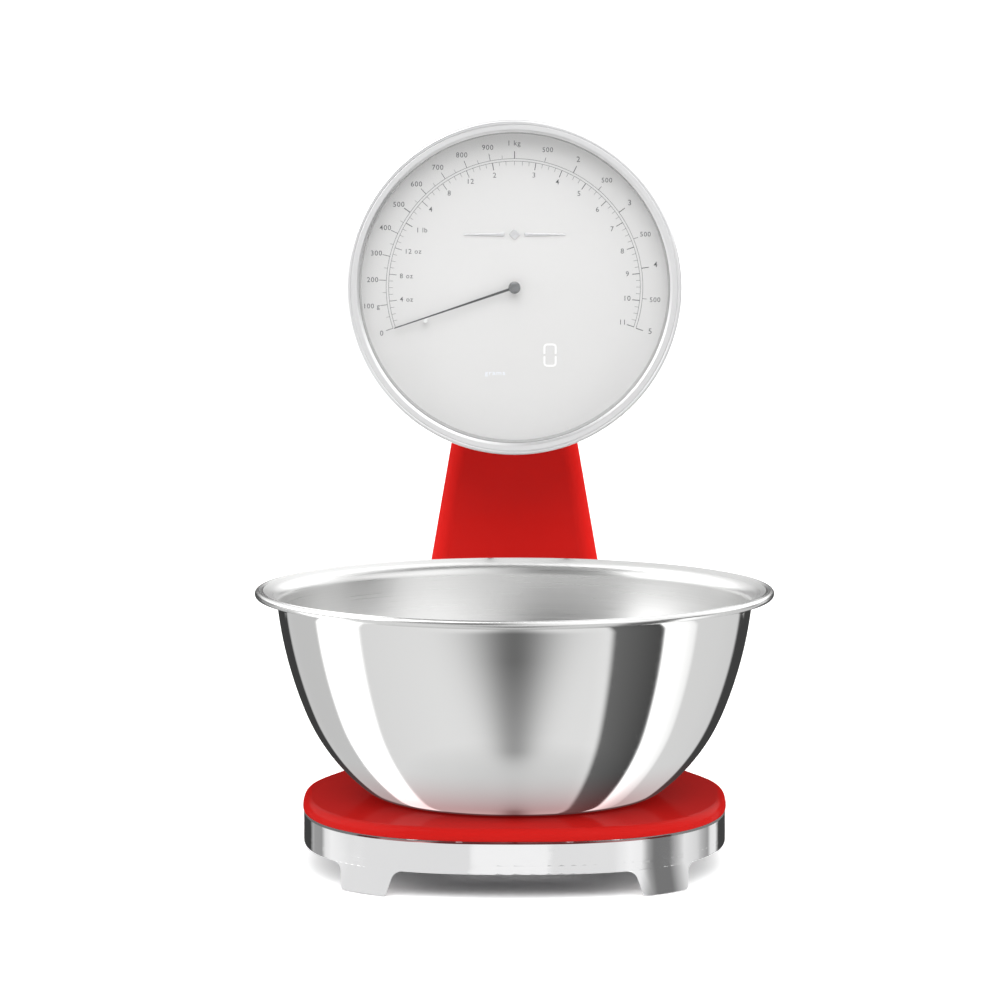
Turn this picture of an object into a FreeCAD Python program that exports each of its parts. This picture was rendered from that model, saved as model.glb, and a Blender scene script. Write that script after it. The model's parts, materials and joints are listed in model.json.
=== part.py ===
"""Countertop kitchen scale: a steel bowl on a weighing platform, and a dial head on a tapered column behind it.

Millimetres. +X is to the right of someone who faces the dial, +Y runs away from them, +Z is up.
Everything is drawn about the bowl's own axis, and save() shifts it so that the origin is the middle of the
footprint on the surface that the scale stands on.
"""
import FreeCAD
import Part
import math
import os

V = FreeCAD.Vector
X_AXIS = V(1, 0, 0)
Y_AXIS = V(0, 1, 0)
Z_AXIS = V(0, 0, 1)

# ---------------------------------------------------------------- driving dimensions
# Outline shared by the base, the platform and the column's foot, seen from above
PLAN_HALF_WIDTH = 106.5
PLAN_WIDEST_Y = 12.0
PLAN_FRONT = 115.0
PLAN_REAR = 164.0
FRONT_POWER = 2.5
REAR_POWER = 7.0
REAR_TAPER = 0.34
REAR_WAIST = 0.44
PLAN_POINTS = 72

# Heights of the base
PAD_THICKNESS = 1.8
PAD_PROUD = 0.6
PAD_CLEARANCE = 0.2
SKIRT_BOTTOM_Z = 13.0
SKIRT_TOP_Z = 27.8
SKIRT_INSET = 0.4
SKIRT_WALL = 3.6
LEG_DEPTH = 13.0
LEG_SPLAY = 2.2
WEB_BOTTOM_Z = 16.0
WEB_THICKNESS = 2.5
COVER_THICKNESS = 2.0
COVER_INSET = 15.0
FRONT_GAP_HALF = 62.8
REAR_GAP_HALF = 42.0
SIDE_GAP_FRONT_Y = -73.5
SIDE_GAP_REAR_Y = 128.0
GAP_LEAN = 4.5
GAP_TOP_R = 6.0
LEG_CORNER_R = 2.0
PAD_SIZE = 13.0
PAD_DEPTH = 6.0
PAD_INSET = 5.2
FRONT_PAD_X = 74.0
REAR_PAD_X = 64.0

# Platform
PLATFORM_GAP = 1.2
PLATE_TOP_Z = 35.0
PLATE_WALL = 2.2
PLATE_EDGE_R = 4.4
PLATE_UNDER_R = 0.8
PLATE_REAR_Y = 117.5
PLATE_CORNER_R = 7.0
FOOT_GAP = 1.6
CARRIER_THICKNESS = 2.3
CARRIER_INSET = 16.0
CARRIER_REAR_Y = 96.0
PLATE_BOSS_R = 3.5
PLATE_BOSS = (66.0, 52.0)
TRAVEL = 0.6
STOP_CLEARANCE = 0.05
STOP_POST_R = 4.0
STOP_POST = (50.0, 34.0)

# Load cell
CELL_LENGTH = 76.0
CELL_WIDTH = 16.0
CELL_HEIGHT = 10.0
CELL_LIFT = 1.0
CELL_END = 18.0
CELL_HOLE_R = 3.6
CELL_HOLE_Y = 8.5
CELL_SLOT = 3.0
CELL_SCREW_Y = (24.0, 33.0)
CELL_SCREW_R = 2.0
CELL_HEAD_R = 3.8

# Bowl
BOWL_RIM_R = 130.0
BOWL_BEAD_R = 1.9
BOWL_SHEET = 0.8
BOWL_HEIGHT = 104.6
BOWL_FLAT_R = 62.0
BOWL_CORNER_R = 22.0
BOWL_LOWER_R = 95.0
BOWL_UPPER_R = 200.0
BOWL_CORNER_END = 52.0
BOWL_LOWER_END = 22.5
BOWL_WALL_END = 6.6
BOWL_FLARE_R = 6.5
BOWL_FLARE_END = 72.0
BOWL_PUNT_R = 46.0
BOWL_PUNT_RISE = 1.0

# Column
COLUMN_FRONT_Y = 134.5
COLUMN_REAR_LOW_Y = 162.0
COLUMN_REAR_HIGH_Y = 157.0
COLUMN_HALF_WIDTH = 44.0
COLUMN_WIDTH_Z = 137.6
COLUMN_TAPER = 0.1725
COLUMN_TOP_Z = 328.0
COLUMN_WALL = 2.6
COLUMN_CORNER_LOW_R = 11.0
COLUMN_CORNER_HIGH_R = 6.5
COLUMN_FLOOR = 3.0
REAR_OPENING_Z = (47.0, 312.0)
REAR_OPENING_MARGIN = 13.0
PANEL_CLEARANCE = 0.3
FOOT_SCREW = (46.0, 127.0)
FOOT_REAR_SCREW = (30.0, 152.0)
LEAD_HOLE = (38.0, 144.5)
LEAD_HOLE_R = 4.0

# Battery pack, three AA cells side by side
CELL_R = 7.1
CELL_BODY = 49.0
CELL_NUB_R = 2.7
CELL_NUB = 1.3
CELL_PITCH = 15.0
TRAY_WALL = 1.6
TRAY_BOTTOM_Z = 56.0
TRAY_SPACE = 3.0
DOOR_MARGIN = 3.0
DOOR_TRAVEL_CLEARANCE = 0.3

# Dial head, centred on its own axis along Y
DIAL_Z = 285.0
BEZEL_R = 86.0
BEZEL_LIP_R = 80.0
BEZEL_FRONT_Y = 78.0
BEZEL_DEPTH = 18.0
BEZEL_LIP = 1.5
BEZEL_WALL = 3.4
BEZEL_GROOVE = 0.35
GASKET_THICKNESS = 0.5
GLASS_THICKNESS = 2.0
NEEDLE_SPACE = 6.6
DIAL_THICKNESS = 1.5
HOUSING_WALL = 2.5
HOUSING_BACK_R = 18.0
FIT_CLEARANCE = 0.3
REHAUT_WALL = 1.8

# Pointer
POINTER_LENGTH = 65.6
POINTER_TAIL = 2.6
POINTER_ROOT = 1.35
POINTER_TIP = 0.5
POINTER_THICKNESS = 0.45
POINTER_LIFT = 3.1
POINTER_REST_DEG = 198.7
HUB_R = 3.1
HUB_FRONT = 1.6
HUB_BACK = 1.2
STOP_PIN_R = 1.15
STOP_PIN_AT = 49.0
ARBOR_R = 0.75
ARBOR_HOLE_R = 1.6
RUNNING_CLEARANCE = 0.05

# Pointer drive: a small stepping motor and its reduction gears
GEAR_MODULE = 0.5
PRESSURE_DEG = 20.0
WHEEL_TEETH = 48
IDLER_TEETH = 40
PINION_TEETH = 12
WHEEL_ADDENDUM = 0.7
PINION_ADDENDUM = 0.95
DEDENDUM = 1.25
TOOTH_SLACK = 0.05
GEAR_WIDTH = 1.4
MAGNET_R = 5.0
MAGNET_LENGTH = 3.0
DRIVE_WALL = 1.2
DRIVE_DEPTH = 11.6
DRIVE_SIDE = 14.5
STATOR_GAP = 0.5

# Electronics
BOARD_THICKNESS = 1.6
BOARD_HALF_WIDTH = 58.0
BOARD_LOW = 56.0
BOARD_HIGH = 26.0
BOARD_POSTS = ((-32.0, 22.0), (32.0, 22.0), (-50.0, -46.0), (50.0, -46.0))
BOARD_POST_R = 3.5
DISPLAY_CENTRE = (3.0, -37.0)
DISPLAY_SIZE = (62.0, 24.0)
DISPLAY_DEPTH = 7.0
LEAD_DIAMETER = 2.0

# Push buttons on the back of the head
BUTTON_X = 50.0
BUTTON_PITCH = 21.0
BUTTON_R = 6.0
BUTTON_PROUD = 2.2
BUTTON_TRAVEL = 1.2
BUTTON_FLANGE = 1.4
BUTTON_FLANGE_T = 1.4
BUTTON_SLIDE = 0.25
BUTTON_STEM_R = 2.0
BUTTON_SPACE = 8.0
BUTTON_NAMES = ("power", "tare", "unit")

# Fasteners
M4_R = 2.0
M3_R = 1.5
M3_HEAD_R = 2.8
M3_HEAD_T = 1.8
M4_HEAD_R = 3.6
M4_HEAD_T = 2.4
SCREW_CLEARANCE = 0.2

# ---------------------------------------------------------------- places worked out from them
MOST = 1000.0
LEG_BOTTOM_Z = PAD_PROUD
WEB_TOP_Z = WEB_BOTTOM_Z + WEB_THICKNESS
COVER_BOTTOM_Z = WEB_BOTTOM_Z - COVER_THICKNESS
PLATE_BOTTOM_Z = SKIRT_TOP_Z + PLATFORM_GAP
PLATE_UNDER_Z = PLATE_TOP_Z - PLATE_WALL
CARRIER_BOTTOM_Z = PLATE_UNDER_Z - CARRIER_THICKNESS
CELL_BOTTOM_Z = WEB_TOP_Z + CELL_LIFT
CELL_TOP_Z = CELL_BOTTOM_Z + CELL_HEIGHT
BEAD_Z = PLATE_TOP_Z + BOWL_HEIGHT - BOWL_BEAD_R
FOOT_FRONT_Y = PLATE_REAR_Y + FOOT_GAP
REAR_Y = PLAN_WIDEST_Y + PLAN_REAR
ORIGIN_Y = (REAR_Y - BOWL_RIM_R) / 2
GLASS_SEAT_Y = BEZEL_FRONT_Y + BEZEL_LIP
GLASS_FRONT_Y = GLASS_SEAT_Y + GASKET_THICKNESS
GLASS_BACK_Y = GLASS_FRONT_Y + GLASS_THICKNESS
DIAL_FRONT_Y = GLASS_BACK_Y + NEEDLE_SPACE
DIAL_BACK_Y = DIAL_FRONT_Y + DIAL_THICKNESS
BEZEL_BACK_Y = BEZEL_FRONT_Y + BEZEL_DEPTH
BEZEL_BORE_R = BEZEL_R - BEZEL_WALL
HOUSING_R = BEZEL_BORE_R - FIT_CLEARANCE
HOUSING_BORE_R = HOUSING_R - HOUSING_WALL
HEAD_BACK_Y = COLUMN_FRONT_Y
HEAD_BACK_INNER_Y = HEAD_BACK_Y - HOUSING_WALL
POINTER_Y = DIAL_FRONT_Y - POINTER_LIFT
BOARD_FRONT_Y = DIAL_BACK_Y + DRIVE_DEPTH
BOARD_BACK_Y = BOARD_FRONT_Y + BOARD_THICKNESS
WHEEL_R = GEAR_MODULE * WHEEL_TEETH / 2
IDLER_R = GEAR_MODULE * IDLER_TEETH / 2
PINION_R = GEAR_MODULE * PINION_TEETH / 2
IDLER_AT = (WHEEL_R + PINION_R, 0.0)
ROTOR_AT = (WHEEL_R + PINION_R, -(IDLER_R + PINION_R))
DRIVE_FRONT_Y = DIAL_BACK_Y + DRIVE_WALL
WHEEL_Y = DRIVE_FRONT_Y + 0.8
IDLER_Y = WHEEL_Y + GEAR_WIDTH + 0.8
MAGNET_Y = IDLER_Y + GEAR_WIDTH + 1.0
DRIVE_FLOOR_Y = BOARD_FRONT_Y - DRIVE_WALL
CABLE_Z = DIAL_Z - 25.0
CONNECTOR = (30.0, -34.0)
CONNECTOR_HEIGHT = 6.0
BUTTON_BOARD_Y = HEAD_BACK_INNER_Y - BUTTON_SPACE
TRAY_HALF = (3 * CELL_PITCH) / 2 + TRAY_WALL
TRAY_LENGTH = CELL_BODY + CELL_NUB + TRAY_SPACE
TRAY_FRONT_Y = COLUMN_FRONT_Y + COLUMN_WALL + 2.0
TRAY_BACK_Y = TRAY_FRONT_Y + TRAY_WALL + 2 * CELL_R + 0.6
HEAD_SCREWS = ((0.0, 4.0), (-12.0, -46.0), (12.0, -46.0))
PANEL_SCREWS = ((0.0, 300.0), (0.0, 215.0), (-28.0, 122.0), (28.0, 122.0))


# ---------------------------------------------------------------- helpers
def save(name, shape):
    """Writes one node, shifted so that the origin is the middle of the footprint."""
    moved = shape.copy()
    moved.translate(V(0, -ORIGIN_Y, 0))
    moved.exportStep("parts/%s.step" % name)


def group(shapes):
    return Part.makeCompound(shapes)


def fused(shapes):
    first = shapes[0]
    return first.fuse(shapes[1:]).removeSplitter()


def block(x, y, z):
    """A box between the two values given for each axis."""
    return Part.makeBox(x[1] - x[0], y[1] - y[0], z[1] - z[0], V(x[0], y[0], z[0]))


def rod_z(radius, z, x, y):
    return Part.makeCylinder(radius, z[1] - z[0], V(x, y, z[0]), Z_AXIS)


def rod_y(radius, y, x=0.0, z=0.0):
    """A cylinder along Y. x and z are measured from the dial's axis."""
    return Part.makeCylinder(radius, y[1] - y[0], V(x, y[0], DIAL_Z + z), Y_AXIS)


def dial_block(x, y, z):
    """A box in the head. x and z are measured from the dial's axis."""
    return block(x, y, (DIAL_Z + z[0], DIAL_Z + z[1]))


def rounded(points, radii):
    """A closed planar wire through the points, with an arc of the given radius at each."""
    corners = []
    count = len(points)
    for i, here in enumerate(points):
        back = (points[i - 1] - here).normalize()
        ahead = (points[(i + 1) % count] - here).normalize()
        if radii[i] <= 0:
            corners.append((here, None, here))
            continue
        half = back.getAngle(ahead) / 2
        reach = radii[i] / math.tan(half)
        inward = (back + ahead).normalize()
        middle = here + inward * (radii[i] / math.sin(half) - radii[i])
        corners.append((here + back * reach, middle, here + ahead * reach))
    edges = []
    for i, (start, middle, end) in enumerate(corners):
        if middle is not None:
            edges.append(Part.Arc(start, middle, end).toShape())
        following = corners[(i + 1) % count][0]
        if (following - end).Length > 1e-6:
            edges.append(Part.LineSegment(end, following).toShape())
    return Part.Wire(edges)


def turned_y(profile, radii):
    """Turns a closed (radius, y) profile about the dial's axis."""
    wire = rounded([V(r, y, DIAL_Z) for r, y in profile], radii)
    return Part.Face(wire).revolve(V(0, 0, DIAL_Z), Y_AXIS, 360)


def plan_point(angle, inset):
    """A point of the outline: a superellipse in front, and one that narrows to a tongue behind."""
    behind = math.sin(angle) > 0
    power = REAR_POWER if behind else FRONT_POWER
    length = (PLAN_REAR if behind else PLAN_FRONT) - inset
    along = abs(math.sin(angle))
    across = max(1 - along ** power, 0.0) ** (1 / power)
    narrowing = REAR_TAPER * along ** 3 / (along ** 3 + REAR_WAIST ** 3) if behind else 0.0
    x = (PLAN_HALF_WIDTH - inset) * across * (1 - narrowing)
    return V(math.copysign(x, math.cos(angle)), PLAN_WIDEST_Y + length * math.sin(angle), 0)


def plan_wire(inset, z):
    """The outline, drawn in by inset, at one height."""
    points = [plan_point(2 * math.pi * i / PLAN_POINTS, inset) for i in range(PLAN_POINTS)]
    curve = Part.BSplineCurve()
    curve.interpolate(Points=points, PeriodicFlag=True)
    wire = Part.Wire(curve.toShape())
    wire.translate(V(0, 0, z))
    return wire


def plan_solid(inset, z):
    """The outline, drawn in by inset, between two heights."""
    return Part.Face(plan_wire(inset, z[0])).extrude(V(0, 0, z[1] - z[0]))


def edges_at(shape, z):
    """The edges that lie wholly at one height."""
    found = []
    for edge in shape.Edges:
        box = edge.BoundBox
        if abs(box.ZMin - z) < 1e-3 and abs(box.ZMax - z) < 1e-3:
            found.append(edge)
    return found


def upright_edges(shape):
    found = []
    for edge in shape.Edges:
        box = edge.BoundBox
        if box.XLength < 1e-3 and box.YLength < 1e-3 and box.ZLength > 1:
            found.append(edge)
    return found


def cap_shell(inset, y, wall):
    """A shallow cap with a rounded top edge, cut from the outline between two values of y."""
    body = plan_solid(inset, (PLATE_BOTTOM_Z, PLATE_TOP_Z)).common(block((-MOST, MOST), y, (0, MOST)))
    body = body.makeFillet(PLATE_CORNER_R, upright_edges(body))
    outer = body.makeFillet(PLATE_EDGE_R, edges_at(body, PLATE_TOP_Z))
    outer = outer.makeFillet(PLATE_UNDER_R, edges_at(outer, PLATE_BOTTOM_Z))
    hollow = plan_solid(inset + wall, (PLATE_BOTTOM_Z - 1, PLATE_UNDER_Z))
    hollow = hollow.common(block((-MOST, MOST), (y[0] + wall, y[1] - wall), (0, MOST)))
    return outer, hollow


def column_half_width(z):
    return COLUMN_HALF_WIDTH - COLUMN_TAPER * (z - COLUMN_WIDTH_Z)


def column_rear_y(z):
    share = (z - PLATE_TOP_Z) / (COLUMN_TOP_Z - PLATE_TOP_Z)
    return COLUMN_REAR_LOW_Y + (COLUMN_REAR_HIGH_Y - COLUMN_REAR_LOW_Y) * share


def column_section(z, inset):
    share = (z - PLATE_TOP_Z) / (COLUMN_TOP_Z - PLATE_TOP_Z)
    radius = COLUMN_CORNER_LOW_R + (COLUMN_CORNER_HIGH_R - COLUMN_CORNER_LOW_R) * share - inset
    half = column_half_width(z) - inset
    front = COLUMN_FRONT_Y + inset
    rear = column_rear_y(z) - inset
    points = [V(-half, front, z), V(half, front, z), V(half, rear, z), V(-half, rear, z)]
    return rounded(points, [radius] * 4)


def column_solid(inset, z):
    return Part.makeLoft([column_section(z[0], inset), column_section(z[1], inset)], True, True)


def panel_prism(shrink):
    """The rear opening of the column, drawn in by shrink, as a prism along Y."""
    low = REAR_OPENING_Z[0] + shrink
    high = REAR_OPENING_Z[1] - shrink
    low_half = column_half_width(low) - REAR_OPENING_MARGIN - shrink
    high_half = max(column_half_width(high) - REAR_OPENING_MARGIN * 0.55 - shrink, 4.0)
    y = (COLUMN_REAR_LOW_Y + COLUMN_REAR_HIGH_Y) / 2 - 12
    points = [V(-low_half, y, low), V(low_half, y, low), V(high_half, y, high), V(-high_half, y, high)]
    wire = rounded(points, [4.0 - shrink, 4.0 - shrink, 3.0 - shrink, 3.0 - shrink])
    return Part.Face(wire).extrude(V(0, 40, 0))


def lead(points, diameter):
    """A cable along straight runs joined by tangent arcs as large as the runs allow."""
    pieces = []
    last = points[0]
    for i in range(1, len(points) - 1):
        here = points[i]
        back = points[i - 1] - here
        ahead = points[i + 1] - here
        shorter = min(back.Length, ahead.Length)
        reach = 0.45 * shorter
        half = back.getAngle(ahead) / 2
        radius = reach * math.tan(half)
        print("lead bend of radius %.1f at diameter %.1f" % (radius, diameter))
        back.normalize()
        ahead.normalize()
        inward = (back + ahead).normalize()
        start = here + back * reach
        end = here + ahead * reach
        middle = here + inward * (radius / math.sin(half) - radius)
        pieces.append(Part.LineSegment(last, start).toShape())
        pieces.append(Part.Arc(start, middle, end).toShape())
        last = end
    pieces.append(Part.LineSegment(last, points[-1]).toShape())
    path = Part.Wire(pieces)
    section = Part.Wire(Part.Circle(points[0], points[1] - points[0], diameter / 2).toShape())
    return path.makePipeShell([section], True, False)


def gear_blank(teeth, addendum, width, at, y, turn_deg):
    """A spur gear with involute flanks, about an axis along Y, with a tooth at turn_deg above +X."""
    pitch_r = GEAR_MODULE * teeth / 2
    base_r = pitch_r * math.cos(math.radians(PRESSURE_DEG))
    tip_r = pitch_r + addendum * GEAR_MODULE
    root_r = pitch_r - DEDENDUM * GEAR_MODULE
    pressure = math.radians(PRESSURE_DEG)
    half_tooth = math.pi / (2 * teeth) - TOOTH_SLACK / (2 * pitch_r)
    involute = math.tan(pressure) - pressure

    def flank_angle(radius):
        """Half the tooth's angle at a radius."""
        if radius <= base_r:
            return half_tooth + involute
        slope = math.acos(base_r / radius)
        return half_tooth + involute - (math.tan(slope) - slope)

    def point(radius, angle):
        return V(at[0] + radius * math.cos(angle), y, DIAL_Z + at[1] + radius * math.sin(angle))

    edges = []
    start_r = max(base_r, root_r)
    flank_radii = [start_r + (tip_r - start_r) * k / 3 for k in range(4)]
    for tooth in range(teeth):
        centre = math.radians(turn_deg) + 2 * math.pi * tooth / teeth
        rising = [point(r, centre - flank_angle(r)) for r in flank_radii]
        falling = [point(r, centre + flank_angle(r)) for r in reversed(flank_radii)]
        foot = centre - flank_angle(root_r)
        if root_r < base_r:
            edges.append(Part.LineSegment(point(root_r, foot), rising[0]).toShape())
        for side in (rising, falling):
            curve = Part.BSplineCurve()
            curve.interpolate(side)
            edges.append(curve.toShape())
            if side is rising:
                edges.append(Part.Arc(rising[-1], point(tip_r, centre), falling[0]).toShape())
        far_foot = centre + flank_angle(root_r)
        if root_r < base_r:
            edges.append(Part.LineSegment(falling[-1], point(root_r, far_foot)).toShape())
        next_foot = foot + 2 * math.pi / teeth
        gap = Part.Arc(point(root_r, far_foot), point(root_r, (far_foot + next_foot) / 2),
                       point(root_r, next_foot))
        edges.append(gap.toShape())
    return Part.Face(Part.Wire(Part.__sortEdges__(edges))).extrude(V(0, width, 0))


# ---------------------------------------------------------------- base
def gap_cutter(centre, half, along_x):
    """The space between two legs: leaning sides, rounded where it meets the skirt and at the legs' soles."""
    top = half - GAP_LEAN
    outer = half + 20
    profile = [(-outer, -5.0), (outer, -5.0), (outer, LEG_BOTTOM_Z), (half, LEG_BOTTOM_Z), (top, SKIRT_BOTTOM_Z),
               (-top, SKIRT_BOTTOM_Z), (-half, LEG_BOTTOM_Z), (-outer, LEG_BOTTOM_Z)]
    radii = [0, 0, 0, LEG_CORNER_R, GAP_TOP_R, GAP_TOP_R, LEG_CORNER_R, 0]
    if along_x:
        points = [V(0, centre + u, z) for u, z in profile]
        return Part.Face(rounded(points, radii)).extrude(V(MOST, 0, 0))
    points = [V(centre + u, 0, z) for u, z in profile]
    return Part.Face(rounded(points, radii)).extrude(V(0, MOST, 0))


def base_frame():
    splayed = [plan_wire(SKIRT_INSET - LEG_SPLAY, LEG_BOTTOM_Z), plan_wire(SKIRT_INSET, SKIRT_BOTTOM_Z)]
    leg_ring = Part.makeLoft(splayed, True, True)
    leg_ring = leg_ring.fuse(plan_solid(SKIRT_INSET, (SKIRT_BOTTOM_Z, WEB_BOTTOM_Z + 1)))
    leg_ring = leg_ring.cut(plan_solid(SKIRT_INSET + LEG_DEPTH, (0, MOST)))
    front = gap_cutter(0, FRONT_GAP_HALF, False)
    front.translate(V(0, PLAN_WIDEST_Y - MOST, 0))
    rear = gap_cutter(0, REAR_GAP_HALF, False)
    rear.translate(V(0, PLAN_WIDEST_Y, 0))
    middle = (SIDE_GAP_FRONT_Y + SIDE_GAP_REAR_Y) / 2
    side = gap_cutter(middle, (SIDE_GAP_REAR_Y - SIDE_GAP_FRONT_Y) / 2, True)
    side.translate(V(-MOST / 2, 0, 0))
    legs = leg_ring.cut([front, rear, side])
    skirt = plan_solid(SKIRT_INSET, (SKIRT_BOTTOM_Z, SKIRT_TOP_Z))
    skirt = skirt.cut(plan_solid(SKIRT_INSET + SKIRT_WALL, (0, MOST)))
    web = plan_solid(SKIRT_INSET + 1, (WEB_BOTTOM_Z, WEB_TOP_Z))
    posts = []
    for sx in (-1, 1):
        for sy in (-1, 1):
            top = CARRIER_BOTTOM_Z - TRAVEL - STOP_CLEARANCE
            posts.append(rod_z(STOP_POST_R, (WEB_TOP_Z - 1, top), sx * STOP_POST[0], sy * STOP_POST[1]))
    cell_seat = block((-CELL_WIDTH / 2, CELL_WIDTH / 2), (CELL_LENGTH / 2 - CELL_END, CELL_LENGTH / 2),
                      (WEB_TOP_Z - 1, CELL_BOTTOM_Z))
    frame = fused([skirt, legs, web, cell_seat] + posts)
    holes = []
    for y in CELL_SCREW_Y:
        holes.append(rod_z(CELL_SCREW_R + SCREW_CLEARANCE, (0, CELL_BOTTOM_Z + 1), 0, y))
        holes.append(rod_z(CELL_HEAD_R + SCREW_CLEARANCE, (0, WEB_BOTTOM_Z + M4_HEAD_T - 1.0), 0, y))
    for x, y in foot_screw_places():
        holes.append(rod_z(M4_R + SCREW_CLEARANCE, (0, WEB_TOP_Z + 1), x, y))
    for x, y in cover_screw_places():
        holes.append(rod_z(M3_R, (0, WEB_TOP_Z + 1), x, y))
    for rear in (False, True):
        for sx in (-1, 1):
            holes.append(pad_block(rear, sx, PAD_CLEARANCE))
    return frame.cut(holes)


def foot_screw_places():
    places = []
    for x, y in (FOOT_SCREW, FOOT_REAR_SCREW):
        places += [(-x, y), (x, y)]
    return places


def cover_screw_places():
    side = PLAN_HALF_WIDTH - COVER_INSET - 13.5
    near = side * 2 / 3
    return [(sx * x, y) for x, y in ((side, PLAN_WIDEST_Y), (near, -62.0), (near, 100.0)) for sx in (-1, 1)]


def bottom_cover():
    """The sheet that closes the underside, cut back where the column's screws come through the web."""
    sheet = plan_solid(COVER_INSET, (COVER_BOTTOM_Z, WEB_BOTTOM_Z))
    sheet = sheet.common(block((-MOST, MOST), (-MOST, FOOT_SCREW[1] - 12), (0, MOST)))
    sheet = sheet.makeFillet(PLATE_CORNER_R, upright_edges(sheet))
    holes = [rod_z(M3_R + SCREW_CLEARANCE, (0, MOST), x, y) for x, y in cover_screw_places()]
    vents = [block((-30, 30), (-46.0 + 6 * i, -44.0 + 6 * i), (0, MOST)) for i in range(4)]
    return sheet.cut(holes + vents)


def pan_screw_up(x, y, head_top_z, radius, head_r, head_t, length):
    """A pan-head screw that points up, with its head just under head_top_z."""
    head = rod_z(head_r, (head_top_z - head_t, head_top_z), x, y)
    head = head.makeFillet(head_t * 0.45, edges_at(head, head_top_z - head_t))
    shank = rod_z(radius, (head_top_z - 0.5, head_top_z + length), x, y)
    slot = block((x - head_r * 0.6, x + head_r * 0.6), (y - 0.35, y + 0.35),
                 (head_top_z - head_t - 1, head_top_z - head_t * 0.55))
    cross = block((x - 0.35, x + 0.35), (y - head_r * 0.6, y + head_r * 0.6),
                  (head_top_z - head_t - 1, head_top_z - head_t * 0.55))
    return head.fuse(shank).cut([slot, cross]).removeSplitter()


def cover_screws():
    return group([pan_screw_up(x, y, COVER_BOTTOM_Z, M3_R, M3_HEAD_R, M3_HEAD_T * 0.6, 4.0)
                  for x, y in cover_screw_places()])


def leg_place(rear):
    """Where a right-hand leg meets the outline, and the outline's direction there in degrees."""
    wanted = REAR_PAD_X if rear else FRONT_PAD_X
    side = 1 if rear else -1
    low, high = 0.0, math.pi / 2
    for _ in range(40):
        mid = (low + high) / 2
        if plan_point(side * mid, SKIRT_INSET).x > wanted:
            low = mid
        else:
            high = mid
    here = plan_point(side * low, SKIRT_INSET)
    run = plan_point(side * (low + 0.05), SKIRT_INSET) - plan_point(side * (low - 0.05), SKIRT_INSET)
    return here, math.degrees(math.atan2(run.y, run.x))


def place_leg(shape, rear, sx):
    """Moves a shape drawn with its outer face on y = 0 and its depth along -y to one of the legs."""
    here, turn = leg_place(rear)
    moved = shape.copy()
    moved.rotate(V(0, 0, 0), Z_AXIS, turn + 180.0 if rear else turn)
    moved.translate(here)
    return moved if sx > 0 else moved.mirror(V(0, 0, 0), X_AXIS)


def pad_block(rear, sx, grow):
    """A pad's outline under the middle of a leg, from the floor to the top of its pocket."""
    u = PAD_SIZE / 2 + grow
    v = PAD_DEPTH / 2 + grow
    middle = LEG_SPLAY - PAD_INSET
    outline = [V(-u, middle - v, 0), V(u, middle - v, 0), V(u, middle + v, 0), V(-u, middle + v, 0)]
    pad = Part.Face(rounded(outline, [2.0 + grow] * 4)).extrude(V(0, 0, PAD_THICKNESS))
    return place_leg(pad, rear, sx)


def foot_pad(rear, sx):
    pad = pad_block(rear, sx, 0.0)
    return pad.makeChamfer(0.3, edges_at(pad, 0.0))


# ---------------------------------------------------------------- weighing gear
def load_cell():
    beam = block((-CELL_WIDTH / 2, CELL_WIDTH / 2), (-CELL_LENGTH / 2, CELL_LENGTH / 2), (CELL_BOTTOM_Z, CELL_TOP_Z))
    middle = (CELL_BOTTOM_Z + CELL_TOP_Z) / 2
    cuts = []
    for sy in (-1, 1):
        cuts.append(Part.makeCylinder(CELL_HOLE_R, CELL_WIDTH + 2, V(-CELL_WIDTH / 2 - 1, sy * CELL_HOLE_Y, middle), X_AXIS))
        for y in CELL_SCREW_Y:
            cuts.append(rod_z(CELL_SCREW_R, (0, MOST), 0, sy * y))
    cuts.append(block((-CELL_WIDTH, CELL_WIDTH), (-CELL_HOLE_Y, CELL_HOLE_Y), (middle - CELL_SLOT / 2, middle + CELL_SLOT / 2)))
    return beam.cut(cuts)


def strain_gauges():
    """The four foil gauges under their silicone, above and below the two thin webs of the beam."""
    pads = []
    for sy in (-1, 1):
        y = (sy * CELL_HOLE_Y - 4, sy * CELL_HOLE_Y + 4)
        pads.append(block((-4, 4), y, (CELL_TOP_Z, CELL_TOP_Z + 0.35)))
        pads.append(block((-4, 4), y, (CELL_BOTTOM_Z - 0.35, CELL_BOTTOM_Z)))
    return group(pads)


def cell_base_screws():
    screws = []
    for y in CELL_SCREW_Y:
        top = WEB_BOTTOM_Z + M4_HEAD_T - 1.0
        screws.append(pan_screw_up(0, y, top, CELL_SCREW_R - 0.05, CELL_HEAD_R, M4_HEAD_T - 1.1, 8.0))
    return group(screws)


def cell_platform_screws():
    """Countersunk screws that hold the carrier on the free end of the load cell."""
    screws = []
    for y in CELL_SCREW_Y:
        top = PLATE_UNDER_Z - 0.2
        cone = Part.makeCone(CELL_SCREW_R, CELL_HEAD_R, 1.7, V(0, -y, top - 1.7), Z_AXIS)
        shank = rod_z(CELL_SCREW_R - 0.05, (top - 10.0, top - 1.0), 0, -y)
        screws.append(cone.fuse(shank).cut(Part.makeCylinder(1.4, 2, V(0, -y, top - 1), Z_AXIS)).removeSplitter())
    return group(screws)


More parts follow.
